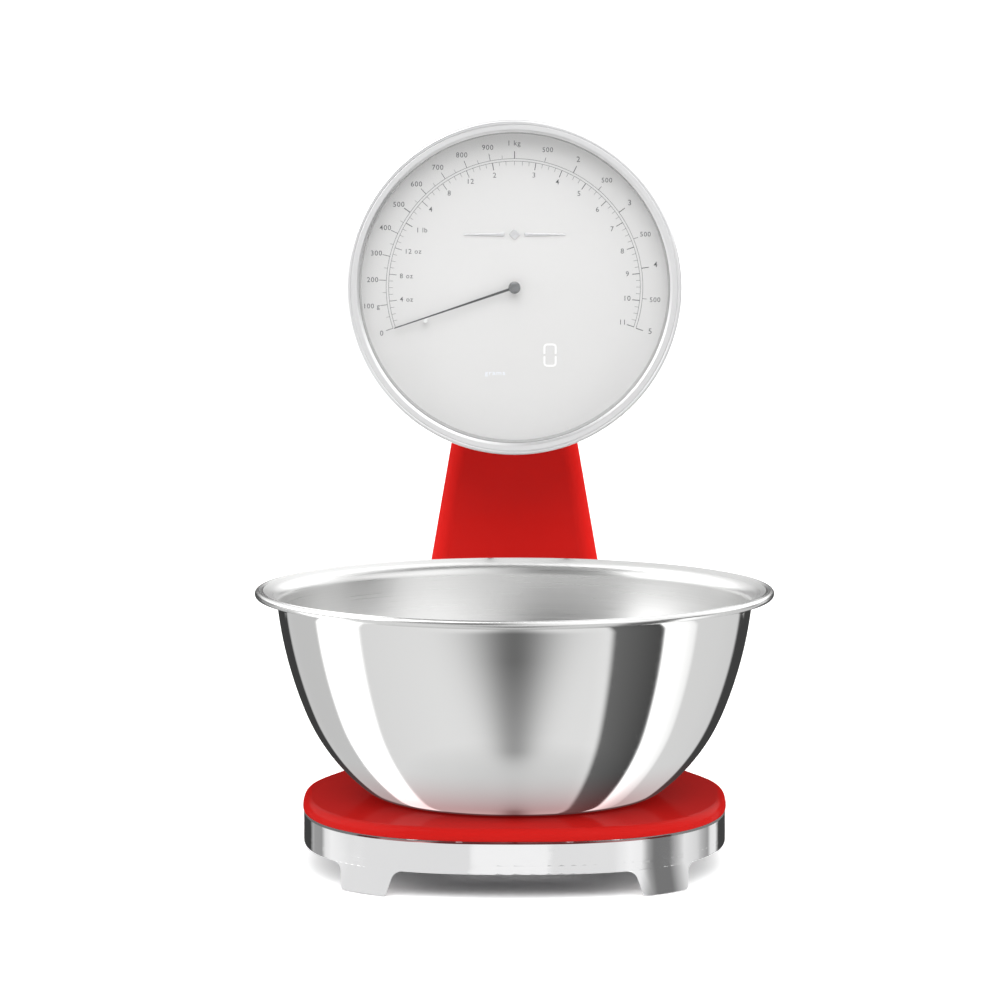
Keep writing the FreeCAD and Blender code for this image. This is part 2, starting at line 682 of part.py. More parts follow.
def platform_carrier():
    """The pressed plate between the load cell and the platform's cover."""
    y = (-MOST, CARRIER_REAR_Y)
    plate = plan_solid(CARRIER_INSET, (CARRIER_BOTTOM_Z, PLATE_UNDER_Z)).common(block((-MOST, MOST), y, (0, MOST)))
    seat = block((-CELL_WIDTH / 2, CELL_WIDTH / 2), (-CELL_LENGTH / 2, -CELL_LENGTH / 2 + CELL_END),
                 (CELL_TOP_Z, CARRIER_BOTTOM_Z + 0.5))
    carrier = fused([plate, seat])
    cuts = []
    for y in CELL_SCREW_Y:
        top = PLATE_UNDER_Z - 0.2
        cuts.append(rod_z(CELL_SCREW_R, (0, MOST), 0, -y))
        cuts.append(Part.makeCone(CELL_SCREW_R, CELL_HEAD_R, 1.7, V(0, -y, top - 1.7), Z_AXIS))
        cuts.append(rod_z(CELL_HEAD_R, (top, MOST), 0, -y))
    for sx in (-1, 1):
        cuts.append(block((sx * 36 - 10, sx * 36 + 10), (-14, 14), (0, MOST)))
        for sy in (-1, 1):
            cuts.append(rod_z(PLATE_BOSS_R + FIT_CLEARANCE, (0, MOST), sx * PLATE_BOSS[0], sy * PLATE_BOSS[1]))
    return carrier.cut(cuts)


def weighing_plate():
    outer, hollow = cap_shell(0.0, (-MOST, PLATE_REAR_Y), PLATE_WALL)
    shell = outer.cut(hollow)
    bosses = []
    for sx in (-1, 1):
        for sy in (-1, 1):
            x, y = sx * PLATE_BOSS[0], sy * PLATE_BOSS[1]
            boss = rod_z(PLATE_BOSS_R, (CARRIER_BOTTOM_Z, PLATE_UNDER_Z + 0.5), x, y)
            bosses.append(boss.cut(rod_z(M3_R, (0, PLATE_UNDER_Z), x, y)))
    return fused([shell] + bosses)


def plate_screws():
    """Flanged screws that clamp the carrier up against the cover."""
    return group([pan_screw_up(sx * PLATE_BOSS[0], sy * PLATE_BOSS[1], CARRIER_BOTTOM_Z, M3_R - 0.05,
                               PLATE_BOSS_R + 1.3, 1.3, 2.0) for sx in (-1, 1) for sy in (-1, 1)])


# ---------------------------------------------------------------- bowl
def bowl():
    """One drawn sheet: flat foot, three tangent wall arcs, a flared lip and a rolled edge."""
    sections = ((BOWL_CORNER_R, 90.0, BOWL_CORNER_END), (BOWL_LOWER_R, BOWL_CORNER_END, BOWL_LOWER_END))
    r = BOWL_FLAT_R
    z = PLATE_TOP_Z
    spans = []
    for radius, start, end in sections:
        spans.append((r, z, radius, start, end))
        r += radius * (math.cos(math.radians(end)) - math.cos(math.radians(start)))
        z += radius * (math.sin(math.radians(start)) - math.sin(math.radians(end)))
    flare_rise = BOWL_FLARE_R * (math.sin(math.radians(BOWL_FLARE_END)) - math.sin(math.radians(BOWL_WALL_END)))
    flare_out = BOWL_FLARE_R * (math.cos(math.radians(BOWL_WALL_END)) - math.cos(math.radians(BOWL_FLARE_END)))
    lean = (math.sin(math.radians(BOWL_LOWER_END)) - math.sin(math.radians(BOWL_WALL_END)))
    bead_r = BOWL_RIM_R - BOWL_BEAD_R
    slope = math.radians(90.0 - BOWL_FLARE_END)
    reach = BOWL_BEAD_R - BOWL_SHEET / 2
    lip_end_r = bead_r - reach * math.sin(slope)
    lip_end_z = BEAD_Z + reach * math.cos(slope)
    wall_top_r = r + BOWL_UPPER_R * (math.cos(math.radians(BOWL_WALL_END)) - math.cos(math.radians(BOWL_LOWER_END)))
    wall_top_z = z + BOWL_UPPER_R * lean
    spans.append((r, z, BOWL_UPPER_R, BOWL_LOWER_END, BOWL_WALL_END))
    lip_start_r = wall_top_r + flare_out
    lip_start_z = lip_end_z - (lip_end_r - lip_start_r) * math.tan(slope)
    straight = lip_start_z - flare_rise - wall_top_z

    def along(offset):
        """The wall's line from the foot to the lip, moved inwards by offset."""
        line = []
        for r0, z0, radius, start, end in spans:
            arc_r = r0 - radius * math.cos(math.radians(start))
            arc_z = z0 + radius * math.sin(math.radians(start))
            line.append([(arc_r + (radius - offset) * math.cos(math.radians(a)),
                          arc_z - (radius - offset) * math.sin(math.radians(a)))
                         for a in (start, (start + end) / 2, end)])
        tilt = math.radians(BOWL_WALL_END)
        top_r = wall_top_r + straight * math.tan(tilt)
        top_z = wall_top_z + straight
        low = line[-1][-1]
        high = (top_r - offset * math.cos(tilt), top_z + offset * math.sin(tilt))
        line.append([low, high])
        centre_r = top_r + BOWL_FLARE_R * math.cos(tilt)
        centre_z = top_z - BOWL_FLARE_R * math.sin(tilt)
        line.append([(centre_r - (BOWL_FLARE_R + offset) * math.cos(math.radians(a)),
                      centre_z + (BOWL_FLARE_R + offset) * math.sin(math.radians(a)))
                     for a in (BOWL_WALL_END, (BOWL_WALL_END + BOWL_FLARE_END) / 2, BOWL_FLARE_END)])
        return line

    def edges(line):
        made = []
        for span in line:
            points = [V(p[0], 0, p[1]) for p in span]
            if len(points) == 3:
                made.append(Part.Arc(*points).toShape())
            elif (points[1] - points[0]).Length > 1e-6:
                made.append(Part.LineSegment(*points).toShape())
        return made

    outside = along(0.0)
    inside = along(BOWL_SHEET)
    out_top = V(outside[-1][-1][0], 0, outside[-1][-1][1])
    in_top = V(inside[-1][-1][0], 0, inside[-1][-1][1])
    onward = V(math.cos(slope), 0, math.sin(slope)) * (lip_end_r - lip_start_r)
    foot_step = BOWL_PUNT_RISE
    floor = [V(inside[0][0][0], 0, inside[0][0][1]), V(BOWL_PUNT_R, 0, PLATE_TOP_Z + BOWL_SHEET),
             V(BOWL_PUNT_R - 2, 0, PLATE_TOP_Z + BOWL_SHEET + foot_step), V(0, 0, PLATE_TOP_Z + BOWL_SHEET + foot_step),
             V(0, 0, PLATE_TOP_Z + foot_step), V(BOWL_PUNT_R - 2, 0, PLATE_TOP_Z + foot_step),
             V(BOWL_PUNT_R, 0, PLATE_TOP_Z), V(outside[0][0][0], 0, outside[0][0][1])]
    closing = [Part.LineSegment(a, b).toShape() for a, b in zip(floor, floor[1:])]
    lip = [Part.LineSegment(out_top, out_top + onward).toShape(),
           Part.LineSegment(out_top + onward, in_top + onward).toShape(),
           Part.LineSegment(in_top + onward, in_top).toShape()]
    wire = Part.Wire(Part.__sortEdges__(edges(outside) + lip + edges(inside) + closing))
    sheet = Part.Face(wire).revolve(V(0, 0, 0), Z_AXIS, 360)
    bead = Part.makeTorus(bead_r, BOWL_BEAD_R, V(0, 0, BEAD_Z), Z_AXIS)
    return fused([sheet, bead])


# ---------------------------------------------------------------- column
def column_foot():
    """The low cover behind the platform that the column stands on."""
    outer, hollow = cap_shell(0.0, (FOOT_FRONT_Y, MOST), PLATE_WALL)
    posts = [rod_z(4.5, (WEB_TOP_Z, PLATE_TOP_Z - 1), x, y) for x, y in foot_screw_places()]
    foot = fused([outer.cut(hollow)] + posts)
    cuts = [rod_z(LEAD_HOLE_R, (PLATE_UNDER_Z - 1, PLATE_TOP_Z + 1), *LEAD_HOLE)]
    for x, y in foot_screw_places():
        top = PLATE_UNDER_Z - 2 if y == FOOT_SCREW[1] else MOST
        cuts.append(rod_z(M4_R - 0.1, (0, top), x, y))
    return foot.cut(cuts)


def column_shell():
    """The tapered column, open at the back, with a floor and bosses for its screws."""
    body = column_solid(0.0, (PLATE_TOP_Z, COLUMN_TOP_Z))
    body = body.makeFillet(COLUMN_WALL, edges_at(body, COLUMN_TOP_Z))
    shell = body.cut(column_solid(COLUMN_WALL, (PLATE_TOP_Z + COLUMN_FLOOR, COLUMN_TOP_Z - COLUMN_WALL)))
    floor = PLATE_TOP_Z + COLUMN_FLOOR
    posts = [rod_z(4.5, (floor - 1, floor + 8), sx * FOOT_REAR_SCREW[0], FOOT_REAR_SCREW[1]) for sx in (-1, 1)]
    front_in = COLUMN_FRONT_Y + COLUMN_WALL
    for x, z in PANEL_SCREWS:
        boss_end = column_rear_y(z) - COLUMN_WALL - 0.1
        posts.append(Part.makeCylinder(3.6, boss_end - front_in + 0.5, V(x, front_in - 0.5, z), Y_AXIS))
    shell = fused([shell] + posts)
    cuts = [panel_prism(0.0), rod_z(LEAD_HOLE_R, (PLATE_TOP_Z - 1, floor + 1), *LEAD_HOLE)]
    for sx in (-1, 1):
        cuts.append(rod_z(M4_R - 0.1, (0, floor + 6), sx * FOOT_REAR_SCREW[0], FOOT_REAR_SCREW[1]))
    for x, z in PANEL_SCREWS:
        cuts.append(Part.makeCylinder(M3_R - 0.1, 14, V(x, column_rear_y(z) - 14, z), Y_AXIS))
    for x, z in HEAD_SCREWS:
        cuts.append(rod_y(M4_R + SCREW_CLEARANCE, (COLUMN_FRONT_Y - 5, COLUMN_FRONT_Y + 6), x, z))
    cuts.append(rod_y(4.0, (COLUMN_FRONT_Y - 5, COLUMN_FRONT_Y + 6), 0, CABLE_Z - DIAL_Z))
    return shell.cut(cuts)


def door_prism(shrink):
    half = TRAY_HALF + DOOR_MARGIN - shrink
    low = TRAY_BOTTOM_Z - DOOR_MARGIN + shrink
    high = TRAY_BOTTOM_Z + TRAY_LENGTH + 2 * TRAY_WALL + DOOR_MARGIN - shrink
    y = TRAY_BACK_Y
    points = [V(-half, y, low), V(half, y, low), V(half, y, high), V(-half, y, high)]
    return Part.Face(rounded(points, [3.0 - shrink] * 4)).extrude(V(0, 60, 0))


def column_skin():
    """The column's wall as it would be with no rear opening."""
    outer = column_solid(0.0, (PLATE_TOP_Z + 1, COLUMN_TOP_Z - 4))
    return outer.cut(column_solid(COLUMN_WALL, (PLATE_TOP_Z - 2, COLUMN_TOP_Z - 3)))


def rear_panel():
    rear_half = block((-MOST, MOST), (COLUMN_REAR_HIGH_Y - 8, MOST), (0, MOST))
    panel = column_skin().common(rear_half).common(panel_prism(PANEL_CLEARANCE))
    cuts = [door_prism(0.0)]
    for x, z in PANEL_SCREWS:
        y = column_rear_y(z)
        cuts.append(Part.makeCylinder(M3_R + SCREW_CLEARANCE, 10, V(x, y - 6, z), Y_AXIS))
        cuts.append(Part.makeCylinder(M3_HEAD_R + SCREW_CLEARANCE, 10, V(x, y - 1.2, z), Y_AXIS))
    return panel.cut(cuts)


def battery_door():
    rear_half = block((-MOST, MOST), (COLUMN_REAR_HIGH_Y - 8, MOST), (0, MOST))
    door = column_skin().common(rear_half).common(door_prism(DOOR_TRAVEL_CLEARANCE))
    low = TRAY_BOTTOM_Z - DOOR_MARGIN
    high = TRAY_BOTTOM_Z + TRAY_LENGTH + 2 * TRAY_WALL + DOOR_MARGIN
    rear = column_rear_y(high)
    cuts = [Part.makeCylinder(7.0, 20, V(-10, rear + 5.6, high - 9), X_AXIS)]
    ribs = []
    for i in range(4):
        z = low + 8 + 3.0 * i
        cuts.append(block((-16, 16), (column_rear_y(z) - 0.5, MOST), (z, z + 1.0)))
    for sx in (-1, 1):
        x = sx * (TRAY_HALF - 6)
        y = column_rear_y(high) - COLUMN_WALL
        ribs.append(block((x - 1, x + 1), (y - 1.2, y + 2.0), (low + 10, high - 16)))
    return fused([door.cut(cuts)] + ribs)


def panel_screws():
    screws = []
    for x, z in PANEL_SCREWS:
        y = column_rear_y(z) - 1.2
        head = Part.makeCylinder(M3_HEAD_R, 1.1, V(x, y, z), Y_AXIS)
        shank = Part.makeCylinder(M3_R - 0.15, 9.0, V(x, y - 9.0, z), Y_AXIS)
        slots = [block((x - 1.7, x + 1.7), (y + 0.5, y + 3), (z - 0.35, z + 0.35)),
                 block((x - 0.35, x + 0.35), (y + 0.5, y + 3), (z - 1.7, z + 1.7))]
        screws.append(head.fuse(shank).cut(slots).removeSplitter())
    return group(screws)


def foot_screws():
    """Short screws into the foot's front posts, and long ones through it into the column."""
    screws = []
    for x, y in foot_screw_places():
        length = 11.0 if y == FOOT_SCREW[1] else 24.0
        screws.append(pan_screw_up(x, y, WEB_BOTTOM_Z, M4_R - 0.15, M4_HEAD_R, M4_HEAD_T, length))
    return group(screws)


def head_screws():
    """Screws from inside the column into the back of the head."""
    screws = []
    y = COLUMN_FRONT_Y + COLUMN_WALL
    for x, z in HEAD_SCREWS:
        head = rod_y(M4_HEAD_R, (y, y + M4_HEAD_T), x, z)
        shank = rod_y(M4_R - 0.05, (y - 9.0, y + 0.5), x, z)
        screws.append(head.fuse(shank).cut(rod_y(1.5, (y + 1.0, y + 5.0), x, z)).removeSplitter())
    return group(screws)


# ---------------------------------------------------------------- battery pack
def battery_tray():
    low = TRAY_BOTTOM_Z
    high = low + TRAY_LENGTH + 2 * TRAY_WALL
    tray = block((-TRAY_HALF, TRAY_HALF), (TRAY_FRONT_Y, TRAY_BACK_Y), (low, high))
    room = block((-TRAY_HALF + TRAY_WALL, TRAY_HALF - TRAY_WALL), (TRAY_FRONT_Y + TRAY_WALL, MOST),
                 (low + TRAY_WALL, high - TRAY_WALL))
    tray = tray.cut(room)
    stand = COLUMN_FRONT_Y + COLUMN_WALL
    feet = [block((sx * 16 - 2, sx * 16 + 2), (stand, TRAY_FRONT_Y + 0.5), (low + 8, high - 8)) for sx in (-1, 1)]
    return fused([tray] + feet)


def battery_place(index):
    x = (index - 1) * CELL_PITCH
    y = TRAY_FRONT_Y + TRAY_WALL + CELL_R + 0.1
    return x, y


def battery(index):
    """One AA cell. The middle one stands the other way up."""
    x, y = battery_place(index)
    low = TRAY_BOTTOM_Z + TRAY_WALL + TRAY_SPACE / 2
    if index == 1:
        body = (low + CELL_NUB, low + CELL_NUB + CELL_BODY)
        nub = (low, low + CELL_NUB + 0.5)
    else:
        body = (low, low + CELL_BODY)
        nub = (low + CELL_BODY - 0.5, low + CELL_BODY + CELL_NUB)
    can = rod_z(CELL_R, body, x, y)
    can = can.makeFillet(0.5, edges_at(can, body[0]) + edges_at(can, body[1]))
    return fused([can, rod_z(CELL_NUB_R, nub, x, y)])


def battery_contacts():
    """Sprung contact plates at both ends of each cell."""
    plates = []
    gap = TRAY_SPACE / 2
    low = TRAY_BOTTOM_Z + TRAY_WALL
    high = low + TRAY_LENGTH
    for index in range(3):
        x, y = battery_place(index)
        for z, end in (((low, low + 0.4), low), ((high - 0.4, high), high)):
            plates.append(block((x - 5.5, x + 5.5), (y - 5.5, y + 5.5), z))
        plates[-2] = fused([plates[-2], rod_z(2.2, (low, low + gap), x, y)])
        plates[-1] = fused([plates[-1], rod_z(2.2, (high - gap, high), x, y)])
    return group(plates)


# ---------------------------------------------------------------- dial head
def bezel():
    """The polished ring that holds the glass, with a fine turned groove near its outer edge."""
    lip_front = BEZEL_FRONT_Y
    groove_r = BEZEL_R - 1.9
    profile = [(BEZEL_LIP_R, lip_front + 0.9), (BEZEL_LIP_R + 1.3, lip_front), (groove_r - 0.4, lip_front),
               (groove_r, lip_front + BEZEL_GROOVE), (groove_r + 0.4, lip_front), (BEZEL_R, lip_front),
               (BEZEL_R, BEZEL_BACK_Y), (BEZEL_BORE_R, BEZEL_BACK_Y), (BEZEL_BORE_R, GLASS_SEAT_Y),
               (BEZEL_LIP_R, GLASS_SEAT_Y)]
    radii = [0.3, 0.8, 0.1, 0.1, 0.1, 1.1, 0.8, 0, 0, 0]
    return turned_y(profile, radii)


def disc_ring(outer, inner, y):
    return rod_y(outer, y).cut(rod_y(inner, (y[0] - 1, y[1] + 1)))


def glass_gasket():
    return disc_ring(HOUSING_R, BEZEL_LIP_R + 0.3, (GLASS_SEAT_Y, GLASS_FRONT_Y))


def dial_glass():
    return rod_y(HOUSING_R, (GLASS_FRONT_Y, GLASS_BACK_Y))


def inner_ring():
    """The plain ring between the glass and the dial, which keeps the pointer's space."""
    r = BEZEL_LIP_R
    profile = [(r - 0.2, GLASS_BACK_Y), (HOUSING_R, GLASS_BACK_Y), (HOUSING_R, DIAL_FRONT_Y),
               (r - 0.9, DIAL_FRONT_Y)]
    return turned_y(profile, [0, 0, 0, 0])


def stop_pin_place():
    """The zero stop touches the pointer's underside when it rests."""
    angle = math.radians(POINTER_REST_DEG)
    share = STOP_PIN_AT / POINTER_LENGTH
    half = (POINTER_ROOT + (POINTER_TIP - POINTER_ROOT) * share) / 2
    aside = STOP_PIN_R + half + RUNNING_CLEARANCE
    x = STOP_PIN_AT * math.cos(angle) - aside * math.sin(angle)
    z = STOP_PIN_AT * math.sin(angle) + aside * math.cos(angle)
    return x, z


def dial_plate():
    x, z = stop_pin_place()
    cuts = [rod_y(ARBOR_HOLE_R, (0, MOST)), rod_y(STOP_PIN_R - 0.4, (0, MOST), x, z)]
    return rod_y(HOUSING_R, (DIAL_FRONT_Y, DIAL_BACK_Y)).cut(cuts)


def stop_pin():
    x, z = stop_pin_place()
    top = POINTER_Y - POINTER_THICKNESS - 0.6
    peg = rod_y(STOP_PIN_R, (top, DIAL_FRONT_Y), x, z)
    round_edges = [e for e in peg.Edges if abs(e.BoundBox.YMin - top) < 1e-3 and e.BoundBox.YLength < 1e-3]
    peg = peg.makeFillet(0.4, round_edges)
    return fused([peg, rod_y(STOP_PIN_R - 0.45, (DIAL_FRONT_Y - 0.5, DIAL_BACK_Y), x, z)])


def pointer():
    """A long tapered blade whose tail stops behind the hub, drawn along +X and then turned to zero on the scale."""
    y = POINTER_Y - POINTER_THICKNESS
    root = POINTER_ROOT / 2
    tip = POINTER_TIP / 2
    tail = root * 1.15
    points = [V(-POINTER_TAIL, y, DIAL_Z - tail), V(0, y, DIAL_Z - root), V(POINTER_LENGTH, y, DIAL_Z - tip),
              V(POINTER_LENGTH, y, DIAL_Z + tip), V(0, y, DIAL_Z + root), V(-POINTER_TAIL, y, DIAL_Z + tail)]
    blade = Part.Face(rounded(points, [0.4, 0, 0.12, 0.12, 0, 0.4])).extrude(V(0, POINTER_THICKNESS, 0))
    blade = fused([blade, rod_y(HUB_R * 0.8, (y, POINTER_Y))]).cut(rod_y(ARBOR_R, (0, MOST)))
    blade.rotate(V(0, 0, DIAL_Z), Y_AXIS, -POINTER_REST_DEG)
    return blade


def pointer_hub():
    """The turned cap over the pointer, pressed on the arbor."""
    front = POINTER_Y - POINTER_THICKNESS - HUB_FRONT
    seat = POINTER_Y - POINTER_THICKNESS
    profile = [(0.0, front + 0.35), (1.0, front + 0.35), (1.4, front), (HUB_R, front), (HUB_R, seat),
               (ARBOR_R, seat), (ARBOR_R, front + 0.9), (0.0, front + 0.9)]
    return turned_y(profile, [0, 0.1, 0.15, 0.9, 0, 0, 0, 0])


def pointer_collar():
    """The collar behind the pointer, which clamps it against the hub."""
    return disc_ring(HUB_R * 0.8, ARBOR_R, (POINTER_Y, POINTER_Y + HUB_BACK))


# ---------------------------------------------------------------- pointer drive
def drive_wheel():
    """The output gear and its arbor in one piece."""
    wheel = gear_blank(WHEEL_TEETH, WHEEL_ADDENDUM, GEAR_WIDTH, (0, 0), WHEEL_Y, 0.0)
    holes = [rod_y(2.2, (0, MOST), 6.4 * math.cos(a), 6.4 * math.sin(a))
             for a in (2 * math.pi * k / 5 for k in range(5))]
    arbor = rod_y(ARBOR_R, (POINTER_Y - POINTER_THICKNESS - HUB_FRONT + 0.9, DRIVE_FLOOR_Y + 0.6))
    hub = rod_y(2.0, (WHEEL_Y - 0.5, WHEEL_Y + GEAR_WIDTH + 1.2))
    return fused([wheel.cut(holes), hub, arbor])


def idler_gear():
    x, z = IDLER_AT
    pinion = gear_blank(PINION_TEETH, PINION_ADDENDUM, IDLER_Y - WHEEL_Y + 0.6, IDLER_AT, WHEEL_Y - 0.2,
                        180.0 / PINION_TEETH)
    wheel = gear_blank(IDLER_TEETH, WHEEL_ADDENDUM, GEAR_WIDTH, IDLER_AT, IDLER_Y, 0.0)
    shaft = rod_y(ARBOR_R, (DIAL_BACK_Y + 0.3, DRIVE_FLOOR_Y + 0.6), x, z)
    return fused([wheel, pinion, shaft])


def motor_rotor():
    x, z = ROTOR_AT
    pinion = gear_blank(PINION_TEETH, PINION_ADDENDUM, GEAR_WIDTH + 0.4, ROTOR_AT, IDLER_Y - 0.2,
                        180.0 / PINION_TEETH)
    magnet = rod_y(MAGNET_R, (MAGNET_Y, MAGNET_Y + MAGNET_LENGTH), x, z)
    shaft = rod_y(ARBOR_R, (DIAL_BACK_Y + 0.3, DRIVE_FLOOR_Y + 0.6), x, z)
    return fused([pinion, magnet, shaft])


def drive_extent():
    right = IDLER_AT[0] + IDLER_R + 2.0
    low = ROTOR_AT[1] - MAGNET_R - 4.0
    return (-DRIVE_SIDE, right), (low, DRIVE_SIDE)


def drive_plate():
    x, z = drive_extent()
    plate = dial_block(x, (DIAL_BACK_Y, DRIVE_FRONT_Y), z)
    holes = [rod_y(ARBOR_R + RUNNING_CLEARANCE, (0, MOST), *place) for place in ((0, 0), IDLER_AT, ROTOR_AT)]
    return plate.cut(holes)


def drive_case():
    x, z = drive_extent()
    case = dial_block(x, (DRIVE_FRONT_Y, BOARD_FRONT_Y), z)
    room = dial_block((x[0] + DRIVE_WALL, x[1] - DRIVE_WALL), (0, DRIVE_FLOOR_Y),
                      (z[0] + DRIVE_WALL, z[1] - DRIVE_WALL))
    holes = [rod_y(ARBOR_R + RUNNING_CLEARANCE, (DRIVE_FLOOR_Y - 1, DRIVE_FLOOR_Y + 0.9), *place)
             for place in ((0, 0), IDLER_AT, ROTOR_AT)]
    return case.cut([room] + holes)


def coil_span():
    return (-DRIVE_SIDE + DRIVE_WALL + 1.6, ROTOR_AT[0] - MAGNET_R - 3.2)


def motor_stator():
    """The iron circuit: a plate with the rotor's bore, and a bar that carries the coil."""
    x, z = ROTOR_AT
    y = (MAGNET_Y + 0.6, MAGNET_Y + 2.2)
    pole = dial_block((x - MAGNET_R - 2.6, x + MAGNET_R + 2.6), y, (z - MAGNET_R - 2.2, z + MAGNET_R + 2.2))
    bar = dial_block((coil_span()[0] - 0.4, x - MAGNET_R - 2.0), y, (z - 1.2, z + 1.2))
    return fused([pole, bar]).cut(rod_y(MAGNET_R + STATOR_GAP, (0, MOST), x, z))


def motor_coil():
    """The winding around the stator's bar."""
    z = ROTOR_AT[1]
    middle = MAGNET_Y + 1.4
    start, end = coil_span()
    winding = Part.makeCylinder(2.2, end - start, V(start, middle, DIAL_Z + z), X_AXIS)
    hole = dial_block((start - 1, end + 1), (MAGNET_Y + 0.6, MAGNET_Y + 2.2), (z - 1.2, z + 1.2))
    return winding.cut(hole)


# ---------------------------------------------------------------- electronics
def main_board():
    board = dial_block((-BOARD_HALF_WIDTH, BOARD_HALF_WIDTH), (BOARD_FRONT_Y, BOARD_BACK_Y), (-BOARD_LOW, BOARD_HIGH))
    corners = [e for e in board.Edges if e.BoundBox.YLength > BOARD_THICKNESS / 2]
    board = board.makeFillet(4.0, corners)
    return board.cut([rod_y(M3_R + SCREW_CLEARANCE, (0, MOST), *place) for place in BOARD_POSTS])


def board_parts():
    """Controller, converter, connectors, capacitors and sounder on the back of the main board."""
    y = BOARD_BACK_Y
    x, z = CONNECTOR
    parts = [dial_block((-20, -8), (y, y + 1.4), (-6, 6)), dial_block((6, 12), (y, y + 1.2), (-4, 4)),
             dial_block((-34, -29), (y, y + 2.5), (-2, 3)),
             dial_block((BUTTON_X - 6, BUTTON_X - 2), (y, BUTTON_BOARD_Y - BOARD_THICKNESS), (-8, 8))]
    for sx in (-1, 1):
        parts.append(dial_block((sx * x - 6, sx * x + 6), (y, y + CONNECTOR_HEIGHT), (z - 3.5, z + 3.5)))
    parts += [rod_y(3.0, (y, y + 9), x, -20) for x in (-4, 4)]
    parts.append(rod_y(5.5, (y, y + 5.5), 34, 8))
    return group(parts)


def board_screws():
    screws = []
    for place in BOARD_POSTS:
        head = rod_y(M3_HEAD_R, (BOARD_FRONT_Y - M3_HEAD_T, BOARD_FRONT_Y), *place)
        shank = rod_y(M3_R - 0.1, (BOARD_FRONT_Y - 0.5, BOARD_BACK_Y + 7), *place)
        screws.append(head.fuse(shank).cut(rod_y(1.1, (0, BOARD_FRONT_Y - 0.9), *place)).removeSplitter())
    return group(screws)


def display_extent(grow):
    cx, cz = DISPLAY_CENTRE
    w, h = DISPLAY_SIZE
    return (cx - w / 2 - grow, cx + w / 2 + grow), (cz - h / 2 - grow, cz + h / 2 + grow)


def display_module():
    """The lamp block of the digits, with a lit cell for each segment, standing on the main board."""
    x, z = display_extent(0.0)
    front = DIAL_BACK_Y + 1.0
    body = dial_block(x, (front, front + DISPLAY_DEPTH), z)
    cells = []
    for digit in range(4):
        left = x[0] + 8 + digit * 12.5
        cells.append(dial_block((left, left + 8), (front - 1, front + DISPLAY_DEPTH - 1.5), (z[0] + 5, z[0] + 6.6)))
        cells.append(dial_block((left, left + 8), (front - 1, front + DISPLAY_DEPTH - 1.5), (z[1] - 6.6, z[1] - 5)))
        for side in (left, left + 6.4):
            cells.append(dial_block((side, side + 1.6), (front - 1, front + DISPLAY_DEPTH - 1.5),
                                    (z[0] + 7.2, z[1] - 7.2)))
    pins = [rod_y(0.35, (front + DISPLAY_DEPTH - 1, BOARD_FRONT_Y), x[0] + 5 + 5.2 * i, zz)
            for i in range(11) for zz in (z[0] + 2.5, z[1] - 2.5)]
    return fused([body.cut(cells)] + pins)


def display_diffuser():
    x, z = display_extent(-0.6)
    return dial_block(x, (DIAL_BACK_Y, DIAL_BACK_Y + 1.0), z)


def head_housing():
    """The painted cup behind the bezel, with its posts for the board and for the column's screws."""
    profile = [(0.0, HEAD_BACK_Y), (0.0, HEAD_BACK_INNER_Y), (HOUSING_BORE_R, HEAD_BACK_INNER_Y),
               (HOUSING_BORE_R, DIAL_BACK_Y), (HOUSING_R, DIAL_BACK_Y), (HOUSING_R, HEAD_BACK_Y)]
    cup = turned_y(profile, [0, 0, HOUSING_BACK_R - HOUSING_WALL, 0, 0, HOUSING_BACK_R])
    posts = [rod_y(BOARD_POST_R, (BOARD_BACK_Y, HEAD_BACK_INNER_Y + 0.5), *place) for place in BOARD_POSTS]
    posts += [rod_y(4.5, (HEAD_BACK_INNER_Y - 8, HEAD_BACK_INNER_Y + 0.5), *place) for place in HEAD_SCREWS]
    posts += [rod_y(2.6, (BUTTON_BOARD_Y, HEAD_BACK_INNER_Y + 0.5), *place) for place in button_board_posts()]
    cup = fused([cup] + posts)
    cuts = [rod_y(M3_R - 0.1, (0, BOARD_BACK_Y + 8), *place) for place in BOARD_POSTS]
    cuts += [rod_y(M4_R - 0.05, (HEAD_BACK_INNER_Y - 9, MOST), *place) for place in HEAD_SCREWS]
    cuts += [rod_y(BUTTON_R + BUTTON_SLIDE, (HEAD_BACK_INNER_Y - 1, MOST), BUTTON_X, z) for z in button_heights()]
    cuts.append(rod_y(4.0, (HEAD_BACK_INNER_Y - 1, MOST), 0, CABLE_Z - DIAL_Z))
    return cup.cut(cuts)


# ---------------------------------------------------------------- push buttons
def button_heights():
    return (BUTTON_PITCH, 0.0, -BUTTON_PITCH)


def button_board_posts():
    reach = BUTTON_PITCH * 0.5
    return [(BUTTON_X + 9.5, reach), (BUTTON_X - 9.5, reach), (BUTTON_X + 9.5, -reach), (BUTTON_X - 9.5, -reach)]


def button(index):
    """A round cap with a flange that keeps it in, and a stem that works the switch."""
    z = button_heights()[index]
    flange = (HEAD_BACK_INNER_Y - BUTTON_FLANGE_T, HEAD_BACK_INNER_Y)
    cap = rod_y(BUTTON_R, (flange[0], HEAD_BACK_Y + BUTTON_PROUD), BUTTON_X, z)
    face = HEAD_BACK_Y + BUTTON_PROUD
    rim = [e for e in cap.Edges if abs(e.BoundBox.YMin - face) < 1e-3 and e.BoundBox.YLength < 1e-3]
    cap = cap.makeFillet(1.2, rim)
    dish = Part.makeSphere(22.0, V(BUTTON_X, face + 21.5, DIAL_Z + z))
    ring = rod_y(BUTTON_R + BUTTON_FLANGE, flange, BUTTON_X, z)
    stem = rod_y(BUTTON_STEM_R, (BUTTON_BOARD_Y + 1.9 + BUTTON_TRAVEL, flange[0] + 0.5), BUTTON_X, z)
    return fused([cap.cut(dish), ring, stem])


